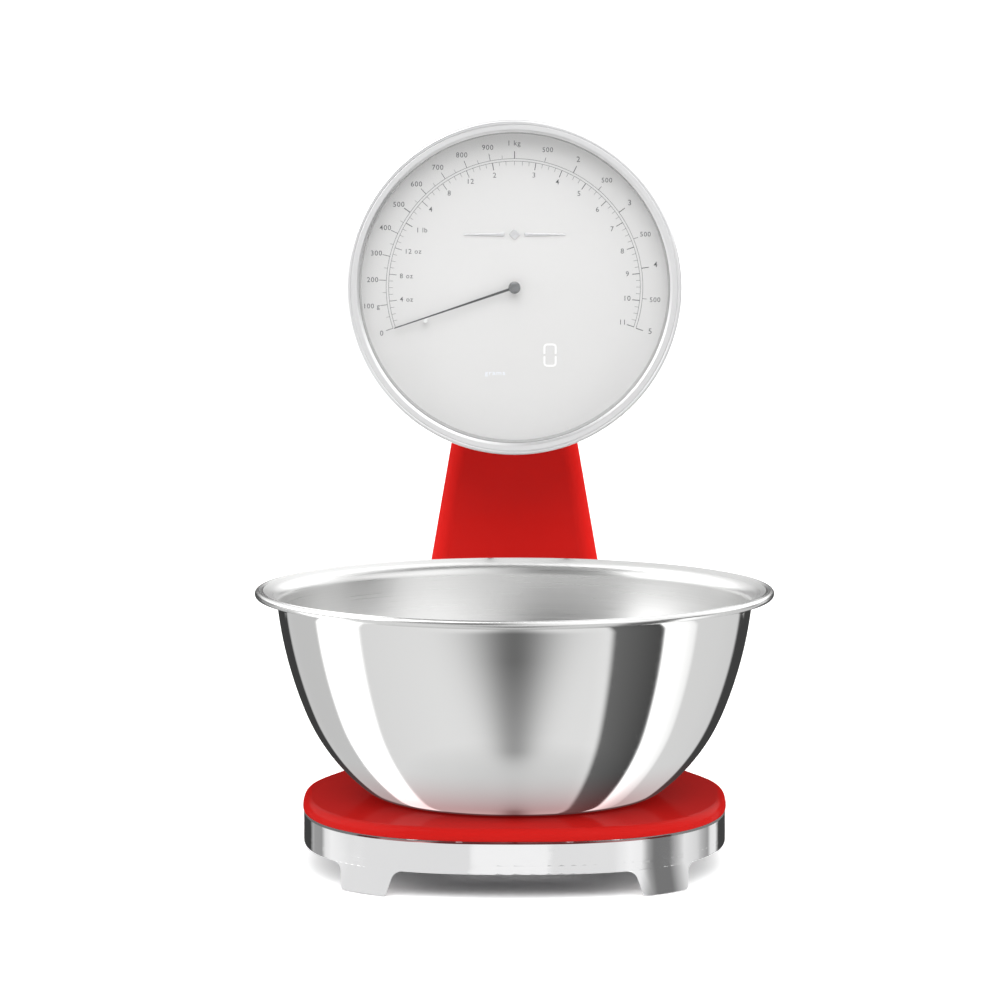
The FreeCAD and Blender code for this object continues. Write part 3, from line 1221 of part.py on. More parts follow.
def button_dome(index):
    """The rubber dome that pushes the button back, between its flange and the switch board."""
    z = button_heights()[index]
    low = BUTTON_BOARD_Y
    high = HEAD_BACK_INNER_Y - BUTTON_FLANGE_T
    wide, narrow, wall = 6.6, 4.4, 0.7
    profile = [(wide - wall, low), (wide, low), (narrow, high), (narrow - wall, high)]
    wire = rounded([V(BUTTON_X + r, y, DIAL_Z + z) for r, y in profile], [0] * 4)
    return Part.Face(wire).revolve(V(BUTTON_X, 0, DIAL_Z + z), Y_AXIS, 360)


def button_board():
    reach = BUTTON_PITCH + 8
    y = (BUTTON_BOARD_Y - BOARD_THICKNESS, BUTTON_BOARD_Y)
    board = dial_block((BUTTON_X - 13, BUTTON_X + 13), y, (-reach, reach))
    corners = [e for e in board.Edges if e.BoundBox.YLength > BOARD_THICKNESS / 2]
    board = board.makeFillet(5.0, corners)
    return board.cut([rod_y(1.2, (0, MOST), *place) for place in button_board_posts()])


def key_switches():
    switches = []
    for z in button_heights():
        body = dial_block((BUTTON_X - 3, BUTTON_X + 3), (BUTTON_BOARD_Y, BUTTON_BOARD_Y + 1.3), (z - 3, z + 3))
        switches.append(fused([body, rod_y(1.5, (BUTTON_BOARD_Y + 1, BUTTON_BOARD_Y + 1.8), BUTTON_X, z)]))
    return group(switches)


# ---------------------------------------------------------------- wiring
def load_cell_lead():
    """From the back of the load cell, under the platform, up the column and into the head."""
    z = (CELL_BOTTOM_Z + CELL_TOP_Z) / 2
    x, hole_y = LEAD_HOLE
    middle = (COLUMN_FRONT_Y + COLUMN_REAR_HIGH_Y) / 2 + 2.7
    route = [V(0, CELL_LENGTH / 2, z), V(0, CELL_LENGTH / 2 + 20, z), V(x, hole_y - 40.5, z - 1.6),
             V(x, hole_y + 2.5, z - 0.5), V(x + 2, middle - 0.5, 128.0), V(8, middle, 205.0)]
    return lead(route + head_route(1.6, middle), LEAD_DIAMETER)


def battery_lead():
    """From the top of the battery tray up to the same opening."""
    top = TRAY_BOTTOM_Z + TRAY_LENGTH + 2 * TRAY_WALL
    y = (TRAY_FRONT_Y + TRAY_BACK_Y) / 2
    middle = (COLUMN_FRONT_Y + COLUMN_REAR_HIGH_Y) / 2 + 2.7
    route = [V(-14, y, top), V(-14, y, top + 30), V(-7, middle, 205.0)]
    return lead(route + head_route(-1.6, middle), LEAD_DIAMETER)


def head_route(x, middle):
    """Through the opening in the back of the head and down on to a connector."""
    across = math.copysign(CONNECTOR[0], x)
    inside = BOARD_BACK_Y + CONNECTOR_HEIGHT + 14.3
    end_z = DIAL_Z + CONNECTOR[1]
    return [V(x, middle, CABLE_Z), V(x, inside, CABLE_Z), V(across, inside, end_z),
            V(across, BOARD_BACK_Y + CONNECTOR_HEIGHT, end_z)]


def build():
    os.makedirs("parts", exist_ok=True)
    save("base_frame", base_frame())
    save("bottom_cover", bottom_cover())
    save("bottom_cover_screws", cover_screws())
    for name, rear in (("front", False), ("rear", True)):
        for side, sx in (("left", -1), ("right", 1)):
            save("foot_pad_%s_%s" % (name, side), foot_pad(rear, sx))
    save("load_cell", load_cell())
    save("strain_gauges", strain_gauges())
    save("load_cell_base_screws", cell_base_screws())
    save("load_cell_platform_screws", cell_platform_screws())
    save("platform_carrier", platform_carrier())
    save("weighing_plate", weighing_plate())
    save("weighing_plate_screws", plate_screws())
    save("bowl", bowl())
    save("column_foot", column_foot())
    save("column_shell", column_shell())
    save("column_rear_panel", rear_panel())
    save("rear_panel_screws", panel_screws())
    save("column_foot_screws", foot_screws())
    save("head_screws", head_screws())
    save("battery_tray", battery_tray())
    for index in range(3):
        save("battery_%d" % (index + 1), battery(index))
    save("battery_contacts", battery_contacts())
    save("battery_door", battery_door())
    save("bezel_ring", bezel())
    save("glass_gasket", glass_gasket())
    save("dial_glass", dial_glass())
    save("dial_spacer_ring", inner_ring())
    save("dial_plate", dial_plate())
    save("zero_stop_pin", stop_pin())
    save("pointer", pointer())
    save("pointer_hub", pointer_hub())
    save("pointer_collar", pointer_collar())
    save("drive_wheel", drive_wheel())
    save("idler_gear", idler_gear())
    save("motor_rotor", motor_rotor())
    save("motor_stator", motor_stator())
    save("motor_coil", motor_coil())
    save("drive_front_plate", drive_plate())
    save("drive_case", drive_case())
    save("main_board", main_board())
    save("board_components", board_parts())
    save("board_screws", board_screws())
    save("display_module", display_module())
    save("display_diffuser", display_diffuser())
    save("head_housing", head_housing())
    for index, name in enumerate(BUTTON_NAMES):
        save("button_%s" % name, button(index))
        save("dome_%s" % name, button_dome(index))
    save("button_board", button_board())
    save("key_switches", key_switches())
    save("load_cell_lead", load_cell_lead())
    save("battery_lead", battery_lead())


build()
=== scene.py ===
"""The looks of the kitchen scale.

Materials for every CAD node, the bowl turned again in even rows, the printed dial with its ornament and lit
read-out, and a plain studio.
"""

import json
import math

import bmesh
import bpy
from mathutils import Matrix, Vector
from mathutils.geometry import intersect_point_line


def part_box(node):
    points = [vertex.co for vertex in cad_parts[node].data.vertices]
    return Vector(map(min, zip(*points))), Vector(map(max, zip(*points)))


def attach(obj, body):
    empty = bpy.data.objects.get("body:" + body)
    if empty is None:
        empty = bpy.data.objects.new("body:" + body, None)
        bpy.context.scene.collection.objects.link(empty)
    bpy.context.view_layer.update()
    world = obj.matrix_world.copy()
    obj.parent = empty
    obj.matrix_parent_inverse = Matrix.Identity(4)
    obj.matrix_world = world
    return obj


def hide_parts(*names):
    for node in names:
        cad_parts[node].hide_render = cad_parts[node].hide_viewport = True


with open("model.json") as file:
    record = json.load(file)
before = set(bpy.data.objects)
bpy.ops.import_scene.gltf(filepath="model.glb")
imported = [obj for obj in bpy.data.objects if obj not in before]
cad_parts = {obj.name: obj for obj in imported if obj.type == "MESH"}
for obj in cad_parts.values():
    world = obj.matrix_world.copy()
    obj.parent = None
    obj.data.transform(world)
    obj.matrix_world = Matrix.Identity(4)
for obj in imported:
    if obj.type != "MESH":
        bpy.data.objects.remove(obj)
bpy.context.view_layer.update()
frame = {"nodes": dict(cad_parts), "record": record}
scene = bpy.context.scene

# ------------------------------------------------------------------ places, in metres, read from the frame
dial_low, dial_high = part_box("dial_plate")
DIAL_Y = dial_low.y
DIAL_X = (dial_low.x + dial_high.x) / 2
DIAL_Z = (dial_low.z + dial_high.z) / 2
bowl_low, bowl_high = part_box("bowl")
BOWL_X = (bowl_low.x + bowl_high.x) / 2
BOWL_Y = (bowl_low.y + bowl_high.y) / 2
BOWL_RIM = (bowl_high.x - bowl_low.x) / 2
BEAD = 0.0038  # how far in from the rim the rolled edge reaches
INK_THICKNESS = 0.00004


# ------------------------------------------------------------------ small node helpers
class Look:
    """One material's node tree, with short calls for the nodes used below."""

    def __init__(self, name, tree=None):
        if tree is None:
            self.material = bpy.data.materials.new(name)
            self.material.use_nodes = True
            tree = self.material.node_tree
        self.tree = tree
        tree.nodes.clear()

    def node(self, kind, inputs=None, **settings):
        made = self.tree.nodes.new(kind)
        for key, value in settings.items():
            setattr(made, key, value)
        for key, value in (inputs or {}).items():
            self.feed(made.inputs[key], value)
        return made

    def feed(self, socket, value):
        if isinstance(value, bpy.types.NodeSocket):
            self.tree.links.new(value, socket)
        else:
            socket.default_value = value

    def math(self, operation, *values):
        made = self.node("ShaderNodeMath", operation=operation)
        for i, value in enumerate(values):
            self.feed(made.inputs[i], value)
        return made.outputs[0]

    def times(self, first, second):
        return self.math("MULTIPLY", first, second)

    def plus(self, first, second):
        return self.math("ADD", first, second)

    def rest_of(self, share):
        return self.math("SUBTRACT", 1.0, share)

    def square(self, value):
        return self.math("POWER", value, 2.0)

    def length(self, first, second):
        return self.math("SQRT", self.plus(self.square(first), self.square(second)))

    def vector(self, operation, *values):
        made = self.node("ShaderNodeVectorMath", operation=operation)
        for i, value in enumerate(values):
            self.feed(made.inputs[i], value)
        return made.outputs["Value"] if operation in ("DOT_PRODUCT", "LENGTH") else made.outputs["Vector"]

    def ranged(self, value, from_low, from_high, to_low, to_high, smooth=False):
        made = self.node(
            "ShaderNodeMapRange",
            {"Value": value, "From Min": from_low, "From Max": from_high,
             "To Min": to_low, "To Max": to_high},
            clamp=True,
        )
        if smooth:
            made.interpolation_type = "SMOOTHSTEP"
        return made.outputs["Result"]

    def blend(self, share, first, second):
        made = self.node("ShaderNodeMix", data_type="RGBA")
        self.feed(made.inputs[0], share)
        self.feed(made.inputs[6], first)
        self.feed(made.inputs[7], second)
        return made.outputs[2]

    def place(self, scale=(1, 1, 1)):
        here = self.node("ShaderNodeTexCoord").outputs["Object"]
        return self.node("ShaderNodeMapping", {"Vector": here, "Scale": scale}).outputs["Vector"]

    def noise(self, where, scale, detail=3.0, rough=0.55):
        inputs = {"Vector": where, "Scale": scale, "Detail": detail, "Roughness": rough}
        return self.node("ShaderNodeTexNoise", inputs).outputs["Fac"]

    def bump(self, height, distance, strength):
        inputs = {"Height": height, "Distance": distance, "Strength": strength}
        return self.node("ShaderNodeBump", inputs).outputs["Normal"]

    def shader(self, **inputs):
        return self.node("ShaderNodeBsdfPrincipled", {k.replace("_", " "): v for k, v in inputs.items()})

    def output(self, socket, kind="ShaderNodeOutputMaterial"):
        out = self.node(kind)
        self.tree.links.new(socket, out.inputs["Surface"])
        return self


def colour(r, g, b):
    return (r, g, b, 1.0)


def shade(c, k):
    return (min(c[0] * k, 1.0), min(c[1] * k, 1.0), min(c[2] * k, 1.0), 1.0)


def mixed(look, share, first, second):
    """One number blended into another by a share from 0 to 1."""
    return look.plus(look.times(first, look.rest_of(share)), look.times(second, share))


# ------------------------------------------------------------------ materials
EVEN = (1, 1, 1)
RING_ROUND, RING_ACROSS = 1.2, 1400.0
OVER_BOWL = 0.20
PLATE_SHOWS = 0.026  # how far up the bowl's side the red plate's reflection is painted into it
CELL_ENDS = colour(0.62, 0.62, 0.63)
CELL_COLOURS = (  # from the lower end, by the share of a cell's length where each begins
    (0.0, CELL_ENDS),
    (0.025, colour(0.05, 0.055, 0.065)),
    (0.70, colour(0.50, 0.27, 0.06)),
    (0.955, CELL_ENDS),
)


def plain_finish(name, base, rough, metal, patch, grain, spread, depth, stretch=EVEN):
    """A surface with cloudy tone, uneven gloss and a fine grain, the common ground of most pieces."""
    look = Look(name)
    where = look.place(stretch)
    cloud = look.noise(where, patch)
    fine = look.noise(where, grain, 2.0)
    tone = look.blend(cloud, shade(base, 1 - spread), shade(base, 1 + spread))
    gloss = look.ranged(fine, 0.3, 0.7, rough * 0.8, rough * 1.25)
    body = look.shader(Base_Color=tone, Roughness=gloss, Metallic=metal, Normal=look.bump(fine, depth, 0.5))
    return look.output(body.outputs[0]).material


def gloss_paint(name, base, coat_rough, peel):
    """Sprayed colour under a thin clear lacquer, with a trace of orange peel and fine flake."""
    look = Look(name)
    where = look.place()
    cloud = look.noise(where, 18.0, 2.0)
    flake = look.noise(where, 2600.0, 2.0)
    tone = look.blend(cloud, shade(base, 0.96), shade(base, 1.03))
    tone = look.blend(look.ranged(flake, 0.62, 0.75, 0.0, 0.10), tone, shade(base, 1.35))
    skin = look.noise(where, 330.0, 1.0)
    body = look.shader(
        Base_Color=tone,
        Roughness=look.ranged(skin, 0.3, 0.7, 0.32, 0.42),
        Specular_IOR_Level=0.0,
        Coat_Weight=0.12,
        Coat_Roughness=coat_rough,
        Coat_IOR=1.35,
        Normal=look.bump(skin, peel, 0.3),
    )
    look.feed(body.inputs["Coat Normal"], look.bump(skin, peel * 0.5, 0.2))
    return look.output(body.outputs[0]).material


def polished_metal(name, base, low, high, streak, streak_scale, depth=0.000004):
    """Buffed metal: a mirror with faint buffing lines and hazy patches."""
    look = Look(name)
    lines = look.noise(look.place(streak), streak_scale, 4.0, 0.6)
    haze = look.noise(look.place(), 30.0, 3.0)
    gloss = look.plus(look.ranged(lines, 0.35, 0.7, low, high), look.ranged(haze, 0.35, 0.7, 0.0, 0.03))
    tone = look.blend(haze, shade(base, 0.97), shade(base, 1.02))
    body = look.shader(Base_Color=tone, Metallic=1.0, Roughness=gloss, Normal=look.bump(lines, depth, 0.3))
    return look.output(body.outputs[0]).material


def spun_rings(look, axes, radius):
    """A place for noise that runs long round the bowl and short across it."""
    rings = look.node("ShaderNodeCombineXYZ")
    look.feed(rings.inputs[0], look.times(look.math("ARCTAN2", axes["Y"], axes["X"]), RING_ROUND))
    look.feed(rings.inputs[1], look.times(radius, RING_ACROSS))
    look.feed(rings.inputs[2], look.times(axes["Z"], RING_ACROSS))
    return rings.outputs[0]


def bowl_metal(name):
    """Spun steel: a mirror outside and on the rolled rim, satin brushed in rings inside."""
    look = Look(name)
    coord = look.node("ShaderNodeTexCoord")
    here = look.vector("SUBTRACT", coord.outputs["Object"], (BOWL_X, BOWL_Y, 0.0))
    axes = look.node("ShaderNodeSeparateXYZ", {"Vector": here}).outputs
    radius = look.length(axes["X"], axes["Y"])
    rings = spun_rings(look, axes, radius)
    brushed = look.noise(rings, 1.0, 3.0, 0.65)
    spun = look.noise(rings, 0.22, 2.0)
    # the inside is what faces a point over the bowl
    above = look.vector("SUBTRACT", here, (0.0, 0.0, OVER_BOWL))
    facing = look.vector("DOT_PRODUCT", coord.outputs["Normal"], above)
    inside = look.ranged(facing, -0.004, 0.004, 1.0, 0.0)
    bead = look.ranged(radius, BOWL_RIM - BEAD - 0.0006, BOWL_RIM - BEAD + 0.0004, 0.0, 1.0)
    inside = look.math("MAXIMUM", look.times(inside, look.rest_of(bead)), look.times(bead, 0.6))
    haze = look.noise(look.place(), 24.0, 3.0)
    outer_gloss = look.plus(look.ranged(spun, 0.3, 0.7, 0.035, 0.06), look.ranged(haze, 0.4, 0.75, 0.0, 0.02))
    gloss = mixed(look, inside, outer_gloss, look.ranged(brushed, 0.3, 0.7, 0.26, 0.36))
    satin = look.blend(brushed, colour(0.66, 0.66, 0.655), colour(0.74, 0.74, 0.735))
    tone = look.blend(inside, colour(0.80, 0.80, 0.795), satin)
    # painted reflection: the red plate close under the bowl is painted faintly into the bowl's lower outside,
    # as a reddish tint
    low = look.math("POWER", look.ranged(axes["Z"], bowl_low.z, bowl_low.z + PLATE_SHOWS, 1.0, 0.0), 1.7)
    painted_plate_reflection = look.times(low, look.rest_of(inside))
    tone = look.blend(painted_plate_reflection, tone, colour(0.36, 0.15, 0.15))
    height = look.times(brushed, look.ranged(inside, 0.0, 1.0, 0.02, 0.5))
    body = look.shader(
        Base_Color=tone,
        Metallic=1.0,
        Roughness=gloss,
        Normal=look.bump(height, 0.00002, 0.3),
        # the painted reflection of the plate also glows faintly red
        Emission_Color=colour(0.30, 0.02, 0.02),
        Emission_Strength=look.times(painted_plate_reflection, 0.30),
    )
    return look.output(body.outputs[0]).material


def dial_paint(name, base):
    """Satin enamel on sheet metal, very slightly mottled."""
    look = Look(name)
    where = look.place()
    cloud = look.noise(where, 14.0, 2.0)
    fine = look.noise(where, 1800.0, 2.0)
    tone = look.blend(cloud, shade(base, 0.985), shade(base, 1.01))
    body = look.shader(
        Base_Color=tone,
        Roughness=look.ranged(fine, 0.3, 0.7, 0.42, 0.52),
        Specular_IOR_Level=0.25,
        Normal=look.bump(fine, 0.00001, 0.4),
    )
    return look.output(body.outputs[0]).material


def clear_pane(name):
    """Flat window glass that lets the lamps through to the dial."""
    look = Look(name)
    smear = look.noise(look.place(), 22.0, 3.0)
    body = look.shader(
        Base_Color=colour(0.995, 0.995, 0.995),
        Transmission_Weight=1.0,
        IOR=1.45,
        Roughness=look.ranged(smear, 0.4, 0.8, 0.0, 0.02),
    )
    clear = look.node("ShaderNodeBsdfTransparent", {"Color": colour(0.98, 0.98, 0.98)})
    path = look.node("ShaderNodeLightPath").outputs
    lamp = look.math("MAXIMUM", path["Is Shadow Ray"], path["Is Diffuse Ray"])
    mix = look.node("ShaderNodeMixShader", {0: lamp, 1: body.outputs[0], 2: clear.outputs[0]})
    return look.output(mix.outputs[0]).material


def circuit_board(name):
    """Green solder mask with the pattern of copper runs under it."""
    look = Look(name)
    grid = {"Vector": look.place((1, 0, 1)), "Scale": 120.0, "Mortar Size": 0.06}
    runs = look.node("ShaderNodeTexBrick", grid, offset=0.37).outputs["Fac"]
    fine = look.noise(look.place(), 1500.0, 2.0)
    mask = look.math("GREATER_THAN", look.noise(look.place((1, 0.1, 6)), 90.0, 1.0), 0.53)
    green = look.blend(mask, colour(0.012, 0.13, 0.05), colour(0.02, 0.21, 0.085))
    green = look.blend(look.times(runs, 0.5), green, colour(0.03, 0.28, 0.11))
    body = look.shader(
        Base_Color=green,
        Roughness=look.ranged(fine, 0.3, 0.7, 0.28, 0.42),
        Normal=look.bump(mask, 0.00003, 0.5),
        Coat_Weight=0.3,
    )
    return look.output(body.outputs[0]).material


def cell_jacket(name, axis_low, axis_high):
    """A plain shrink-wrapped cell: a dark sleeve, a coloured shoulder band and bare metal ends."""
    look = Look(name)
    here = look.node("ShaderNodeTexCoord").outputs["Object"]
    z = look.node("ShaderNodeSeparateXYZ", {"Vector": here}).outputs["Z"]
    ramp = look.node("ShaderNodeValToRGB", {"Fac": look.ranged(z, axis_low, axis_high, 0.0, 1.0)})
    ramp.color_ramp.interpolation = "CONSTANT"
    elements = ramp.color_ramp.elements
    for i, (at, tone) in enumerate(CELL_COLOURS):
        stop = elements[i] if i < 2 else elements.new(at)
        stop.position = at
        stop.color = tone
    fine = look.noise(look.place((1, 1, 0.2)), 1200.0, 2.0)
    body = look.shader(
        Base_Color=ramp.outputs["Color"],
        Metallic=0.55,
        Roughness=look.ranged(fine, 0.3, 0.7, 0.22, 0.34),
        Coat_Weight=0.4,
        Normal=look.bump(fine, 0.00002, 0.3),
    )
    return look.output(body.outputs[0]).material


def wound_copper(name):
    """Lacquered copper wire, wound turn by turn."""
    look = Look(name)
    inputs = {"Vector": look.place(), "Scale": 900.0, "Distortion": 0.4}
    turns = look.node("ShaderNodeTexWave", inputs, bands_direction="X").outputs["Fac"]
    body = look.shader(
        Base_Color=look.blend(turns, colour(0.30, 0.09, 0.03), colour(0.72, 0.30, 0.12)),
        Metallic=0.9,
        Roughness=look.ranged(turns, 0.0, 1.0, 0.42, 0.24),
        Normal=look.bump(turns, 0.0001, 0.6),
    )
    return look.output(body.outputs[0]).material


def glow(name, base, tint, strength):
    """Light through the dial from the display behind it, a little uneven."""
    look = Look(name)
    soft = look.noise(look.place(), 500.0, 2.0)
    body = look.shader(Base_Color=look.blend(soft, shade(base, 0.9), base), Roughness=0.5,
                       Emission_Color=tint, Emission_Strength=strength)
    return look.output(body.outputs[0]).material


RED = colour(0.61, 0.0135, 0.0112)
# painted shade: the plate wears the same red paint as the column, darkened here for the shade that the bowl
# casts on it
SHADED_PLATE_RED = colour(0.44, 0.0105, 0.0088)
# colour, roughness, metal, scale of clouds and of grain, spread of tone, depth and stretch of the grain
PLAIN = {
    "cover_plastic": ((0.045, 0.045, 0.05), 0.5, 0.0, 40.0, 1400.0, 0.1, 0.00006),
    "rubber_pad": ((0.03, 0.03, 0.031), 0.72, 0.0, 90.0, 1600.0, 0.2, 0.0001),
    "cell_aluminium": ((0.72, 0.73, 0.74), 0.34, 1.0, 50.0, 900.0, 0.05, 0.00003, (1, 0.08, 1)),
    "gauge_silicone": ((0.78, 0.78, 0.74), 0.4, 0.0, 150.0, 900.0, 0.06, 0.0001),
    "tray_plastic": ((0.035, 0.035, 0.037), 0.55, 0.0, 60.0, 1500.0, 0.15, 0.00008),
    "gasket_rubber": ((0.24, 0.24, 0.245), 0.6, 0.0, 90.0, 1200.0, 0.2, 0.00004),
    "pin_white": ((0.70, 0.70, 0.70), 0.25, 0.0, 300.0, 1500.0, 0.03, 0.00001),
    "motor_iron": ((0.32, 0.32, 0.33), 0.45, 1.0, 120.0, 1500.0, 0.1, 0.00004),
    "component_black": ((0.03, 0.03, 0.032), 0.45, 0.0, 300.0, 2200.0, 0.2, 0.00003),
    "display_white": ((0.78, 0.78, 0.78), 0.5, 0.0, 90.0, 1500.0, 0.04, 0.00003),
    "diffuser_white": ((0.88, 0.88, 0.88), 0.35, 0.0, 90.0, 1500.0, 0.03, 0.00002),
    "lead_sheath": ((0.05, 0.05, 0.055), 0.42, 0.0, 120.0, 1800.0, 0.15, 0.00003),
    "dome_silicone": ((0.48, 0.48, 0.49), 0.5, 0.0, 200.0, 1500.0, 0.08, 0.00004),
    "carrier_steel": ((0.56, 0.56, 0.57), 0.32, 1.0, 60.0, 900.0, 0.06, 0.00003, (1, 0.05, 1)),
    "pointer_black": ((0.035, 0.037, 0.04), 0.35, 0.3, 200.0, 1500.0, 0.1, 0.00001),
    "gear_plastic": ((0.84, 0.82, 0.74), 0.35, 0.0, 150.0, 1500.0, 0.05, 0.00002),
}
# colour, lowest and highest roughness, stretch, scale and depth of the buffing lines
POLISHED = {
    "polished_base": ((0.88, 0.88, 0.885), 0.03, 0.05, (1, 1, 8), 240.0, 0.000003),
    "screw_steel": ((0.66, 0.66, 0.67), 0.2, 0.34, EVEN, 1500.0),
    "contact_steel": ((0.70, 0.70, 0.69), 0.22, 0.34, (1, 1, 6), 900.0),
    "bezel_chrome": ((0.93, 0.93, 0.935), 0.30, 0.38, EVEN, 900.0),
    "hub_dark": ((0.17, 0.175, 0.18), 0.14, 0.24, EVEN, 1500.0),
    "button_chrome": ((0.84, 0.84, 0.85), 0.10, 0.18, EVEN, 1100.0),
}
LOOKS = {slot: plain_finish(f"{slot}_look", colour(*tone), *rest) for slot, (tone, *rest) in PLAIN.items()}
for slot, (tone, *rest) in POLISHED.items():
    LOOKS[slot] = polished_metal(f"{slot}_look", colour(*tone), *rest)
LOOKS.update({
    "red_enamel": gloss_paint("red_enamel_look", RED, 0.06, 0.00003),
    "red_plastic": gloss_paint("red_plastic_look", RED, 0.12, 0.00006),
    "battery_case": cell_jacket("battery_case_look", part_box("battery_1")[0].z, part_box("battery_1")[1].z),
    "clear_glass": clear_pane("clear_glass_look"),
    "dial_white": dial_paint("dial_white_look", colour(0.670, 0.668, 0.665)),
    "coil_copper": wound_copper("coil_copper_look"),
    "board_green": circuit_board("board_green_look"),
    "bowl_steel": bowl_metal("bowl_steel_look"),
})
# the plate's red paint with its painted shade
SHADED_PLATE_ENAMEL = gloss_paint("shaded_plate_enamel_look", SHADED_PLATE_RED, 0.10, 0.00003)
# painted shade: the dial's spacer ring gets a dark grey in place of the dial's white, for the shade inside
# the bezel
PAINTED_SHADE_GREY = plain_finish("painted_shade_grey", colour(0.36, 0.36, 0.36), 0.5, 0.0, 90.0, 1500.0, 0.03, 0.00002)
INK = plain_finish("dial_ink", colour(0.075, 0.08, 0.085), 0.5, 0.0, 400.0, 2600.0, 0.25, 0.000005)
FINE_INK = plain_finish("dial_fine_ink", colour(0.16, 0.165, 0.17), 0.5, 0.0, 400.0, 2600.0, 0.25, 0.000005)
BADGE = polished_metal("badge_metal", colour(0.62, 0.62, 0.63), 0.16, 0.26, (1, 1, 14), 500.0)
# the plate and the dial's spacer ring get the darkened copies above, as painted shade
OWN_LOOKS = {"dial_spacer_ring": PAINTED_SHADE_GREY, "weighing_plate": SHADED_PLATE_ENAMEL}

for part in frame["record"]["subparts"]:
    slots = frame["nodes"][part["node"]].data.materials
    slots.clear()
    slots.append(OWN_LOOKS.get(part["node"], LOOKS[part["material_slot"]]))

# the polished pieces don't mirror the base, the plate, the column or the head, as with a flag laid over them
RED_ABOVE_PLATE = ("column_shell", "column_foot", "column_rear_panel", "head_housing")
plate_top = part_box("weighing_plate")[1].z
for name, node in frame["nodes"].items():
    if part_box(name)[1].z <= plate_top or name in RED_ABOVE_PLATE:
        node.visible_glossy = False


# ------------------------------------------------------------------ shared makers of meshes
def object_from(bm, name, material, body, smooth=False):
    """Turns a filled bmesh into a piece that rides on a body."""
    bmesh.ops.recalc_face_normals(bm, faces=bm.faces)
    mesh = bpy.data.meshes.new(name)
    bm.to_mesh(mesh)
    bm.free()
    for face in mesh.polygons:
        face.use_smooth = smooth
    mesh.materials.append(material)
    made = bpy.data.objects.new(name, mesh)
    scene.collection.objects.link(made)
    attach(made, body)
    return made


def bar(bm, sections):
    """A closed bar from its four-cornered cross-sections, in order."""
    for a, b in zip(sections, sections[1:]):
        for i in range(4):
            j = (i + 1) % 4
            bm.faces.new((a[i], a[j], b[j], b[i]))
    bm.faces.new(sections[0])
    bm.faces.new(list(reversed(sections[-1])))


# ------------------------------------------------------------------ the bowl, turned again in even rows
BOWL_SEGMENTS = 240
LONGEST_ROW = 0.0025
SHARP_TURN = math.radians(25)
FEWEST_CORNERS = 40  # a ring of the CAD mesh has at least as many
SAME_RING = 0.00006
OFF_MIDDLE = 0.00001
NEAR_MIDDLE = 0.03


def rings_of_corners(bm):
    """The corners of the bowl's mesh as (radius, height), grouped by the ring that they lie on."""
    rings = {}
    for v in bm.verts:
        radius = math.hypot(v.co.x - BOWL_X, v.co.y - BOWL_Y)
        rings.setdefault((round(radius, 5), round(v.co.z, 5)), []).append((radius, v.co.z))
    return [corners for corners in rings.values() if len(corners) >= FEWEST_CORNERS]


def walk_round_cut(bm):
    """Cuts the mesh through its middle and walks round half the cut, from inside over the rim to below."""
    everything = bm.verts[:] + bm.edges[:] + bm.faces[:]
    bmesh.ops.bisect_plane(bm, geom=everything, dist=1e-7, plane_co=(BOWL_X, BOWL_Y, 0), plane_no=(0, 1, 0),
                           clear_inner=True, clear_outer=True)
    half = {v for v in bm.verts if v.co.x < BOWL_X - OFF_MIDDLE}
    start = max((v for v in half if v.co.x > BOWL_X - NEAR_MIDDLE), key=lambda v: (v.co.z, v.co.x))
    chain = [start]
    seen = {start}
    while True:
        near = [e.other_vert(chain[-1]) for e in chain[-1].link_edges]
        near = [v for v in near if v not in seen and v in half]
        if not near:
            break
        chain.append(min(near, key=lambda v: (v.co - chain[-1].co).length))
        seen.add(chain[-1])
    return [Vector((BOWL_X - v.co.x, v.co.z)) for v in chain]


def place_on_walk(walk, ring):
    """How many corners along the walk a ring lies."""
    spans = []
    for i in range(len(walk) - 1):
        _, share = intersect_point_line(ring, walk[i], walk[i + 1])
        share = min(max(share, 0.0), 1.0)
        spans.append(((ring - walk[i].lerp(walk[i + 1], share)).length, i + share))
    return min(spans)[1]


def bowl_section():
    """The bowl's outline in one half plane, from its middle inside to its middle below, as (radius, height).

    A cut through the CAD solid gives the order, and the solid's own rings of corners give the exact places.
    """
    bm = bmesh.new()
    bm.from_mesh(frame["nodes"]["bowl"].data)
    bmesh.ops.remove_doubles(bm, verts=bm.verts, dist=1e-6)
    rings = rings_of_corners(bm)
    walk = walk_round_cut(bm)
    bm.free()
    placed = []
    for corners in rings:
        ring = Vector((sum(c[0] for c in corners) / len(corners), sum(c[1] for c in corners) / len(corners)))
        placed.append((place_on_walk(walk, ring), tuple(ring)))
    points = []
    for _, point in sorted(placed):
        if not points or math.dist(point, points[-1]) > SAME_RING:
            points.append(point)
    return [(0.0, points[0][1])] + points + [(0.0, points[-1][1])]


def turn_at(points, i):
    """How sharply an outline turns at one of its points; its ends count as sharp."""
    if i in (0, len(points) - 1):
        return math.pi
    (ax, az), (bx, bz), (cx, cz) = points[i - 1:i + 2]
    change = math.atan2(cz - bz, cx - bx) - math.atan2(bz - az, bx - ax)
    return abs((change + math.pi) % (2 * math.pi) - math.pi)


def rise(a, b):
    """The direction from one point to the next."""
    length = math.dist(a, b)
    return [(b[k] - a[k]) / length for k in (0, 1)]


def slope(step, along, other_step, other):
    """The slope at a point, over one step, from the rises on both sides; the nearer one weighs more."""
    return [step * (along[k] * other_step + other[k] * step) / (other_step + step) for k in (0, 1)]


def on_cubic(a, slope_a, b, slope_b, t):
    h = (2 * t ** 3 - 3 * t ** 2 + 1, t ** 3 - 2 * t ** 2 + t, 3 * t ** 2 - 2 * t ** 3, t ** 3 - t ** 2)
    return tuple(h[0] * a[k] + h[1] * slope_a[k] + h[2] * b[k] + h[3] * slope_b[k] for k in (0, 1))


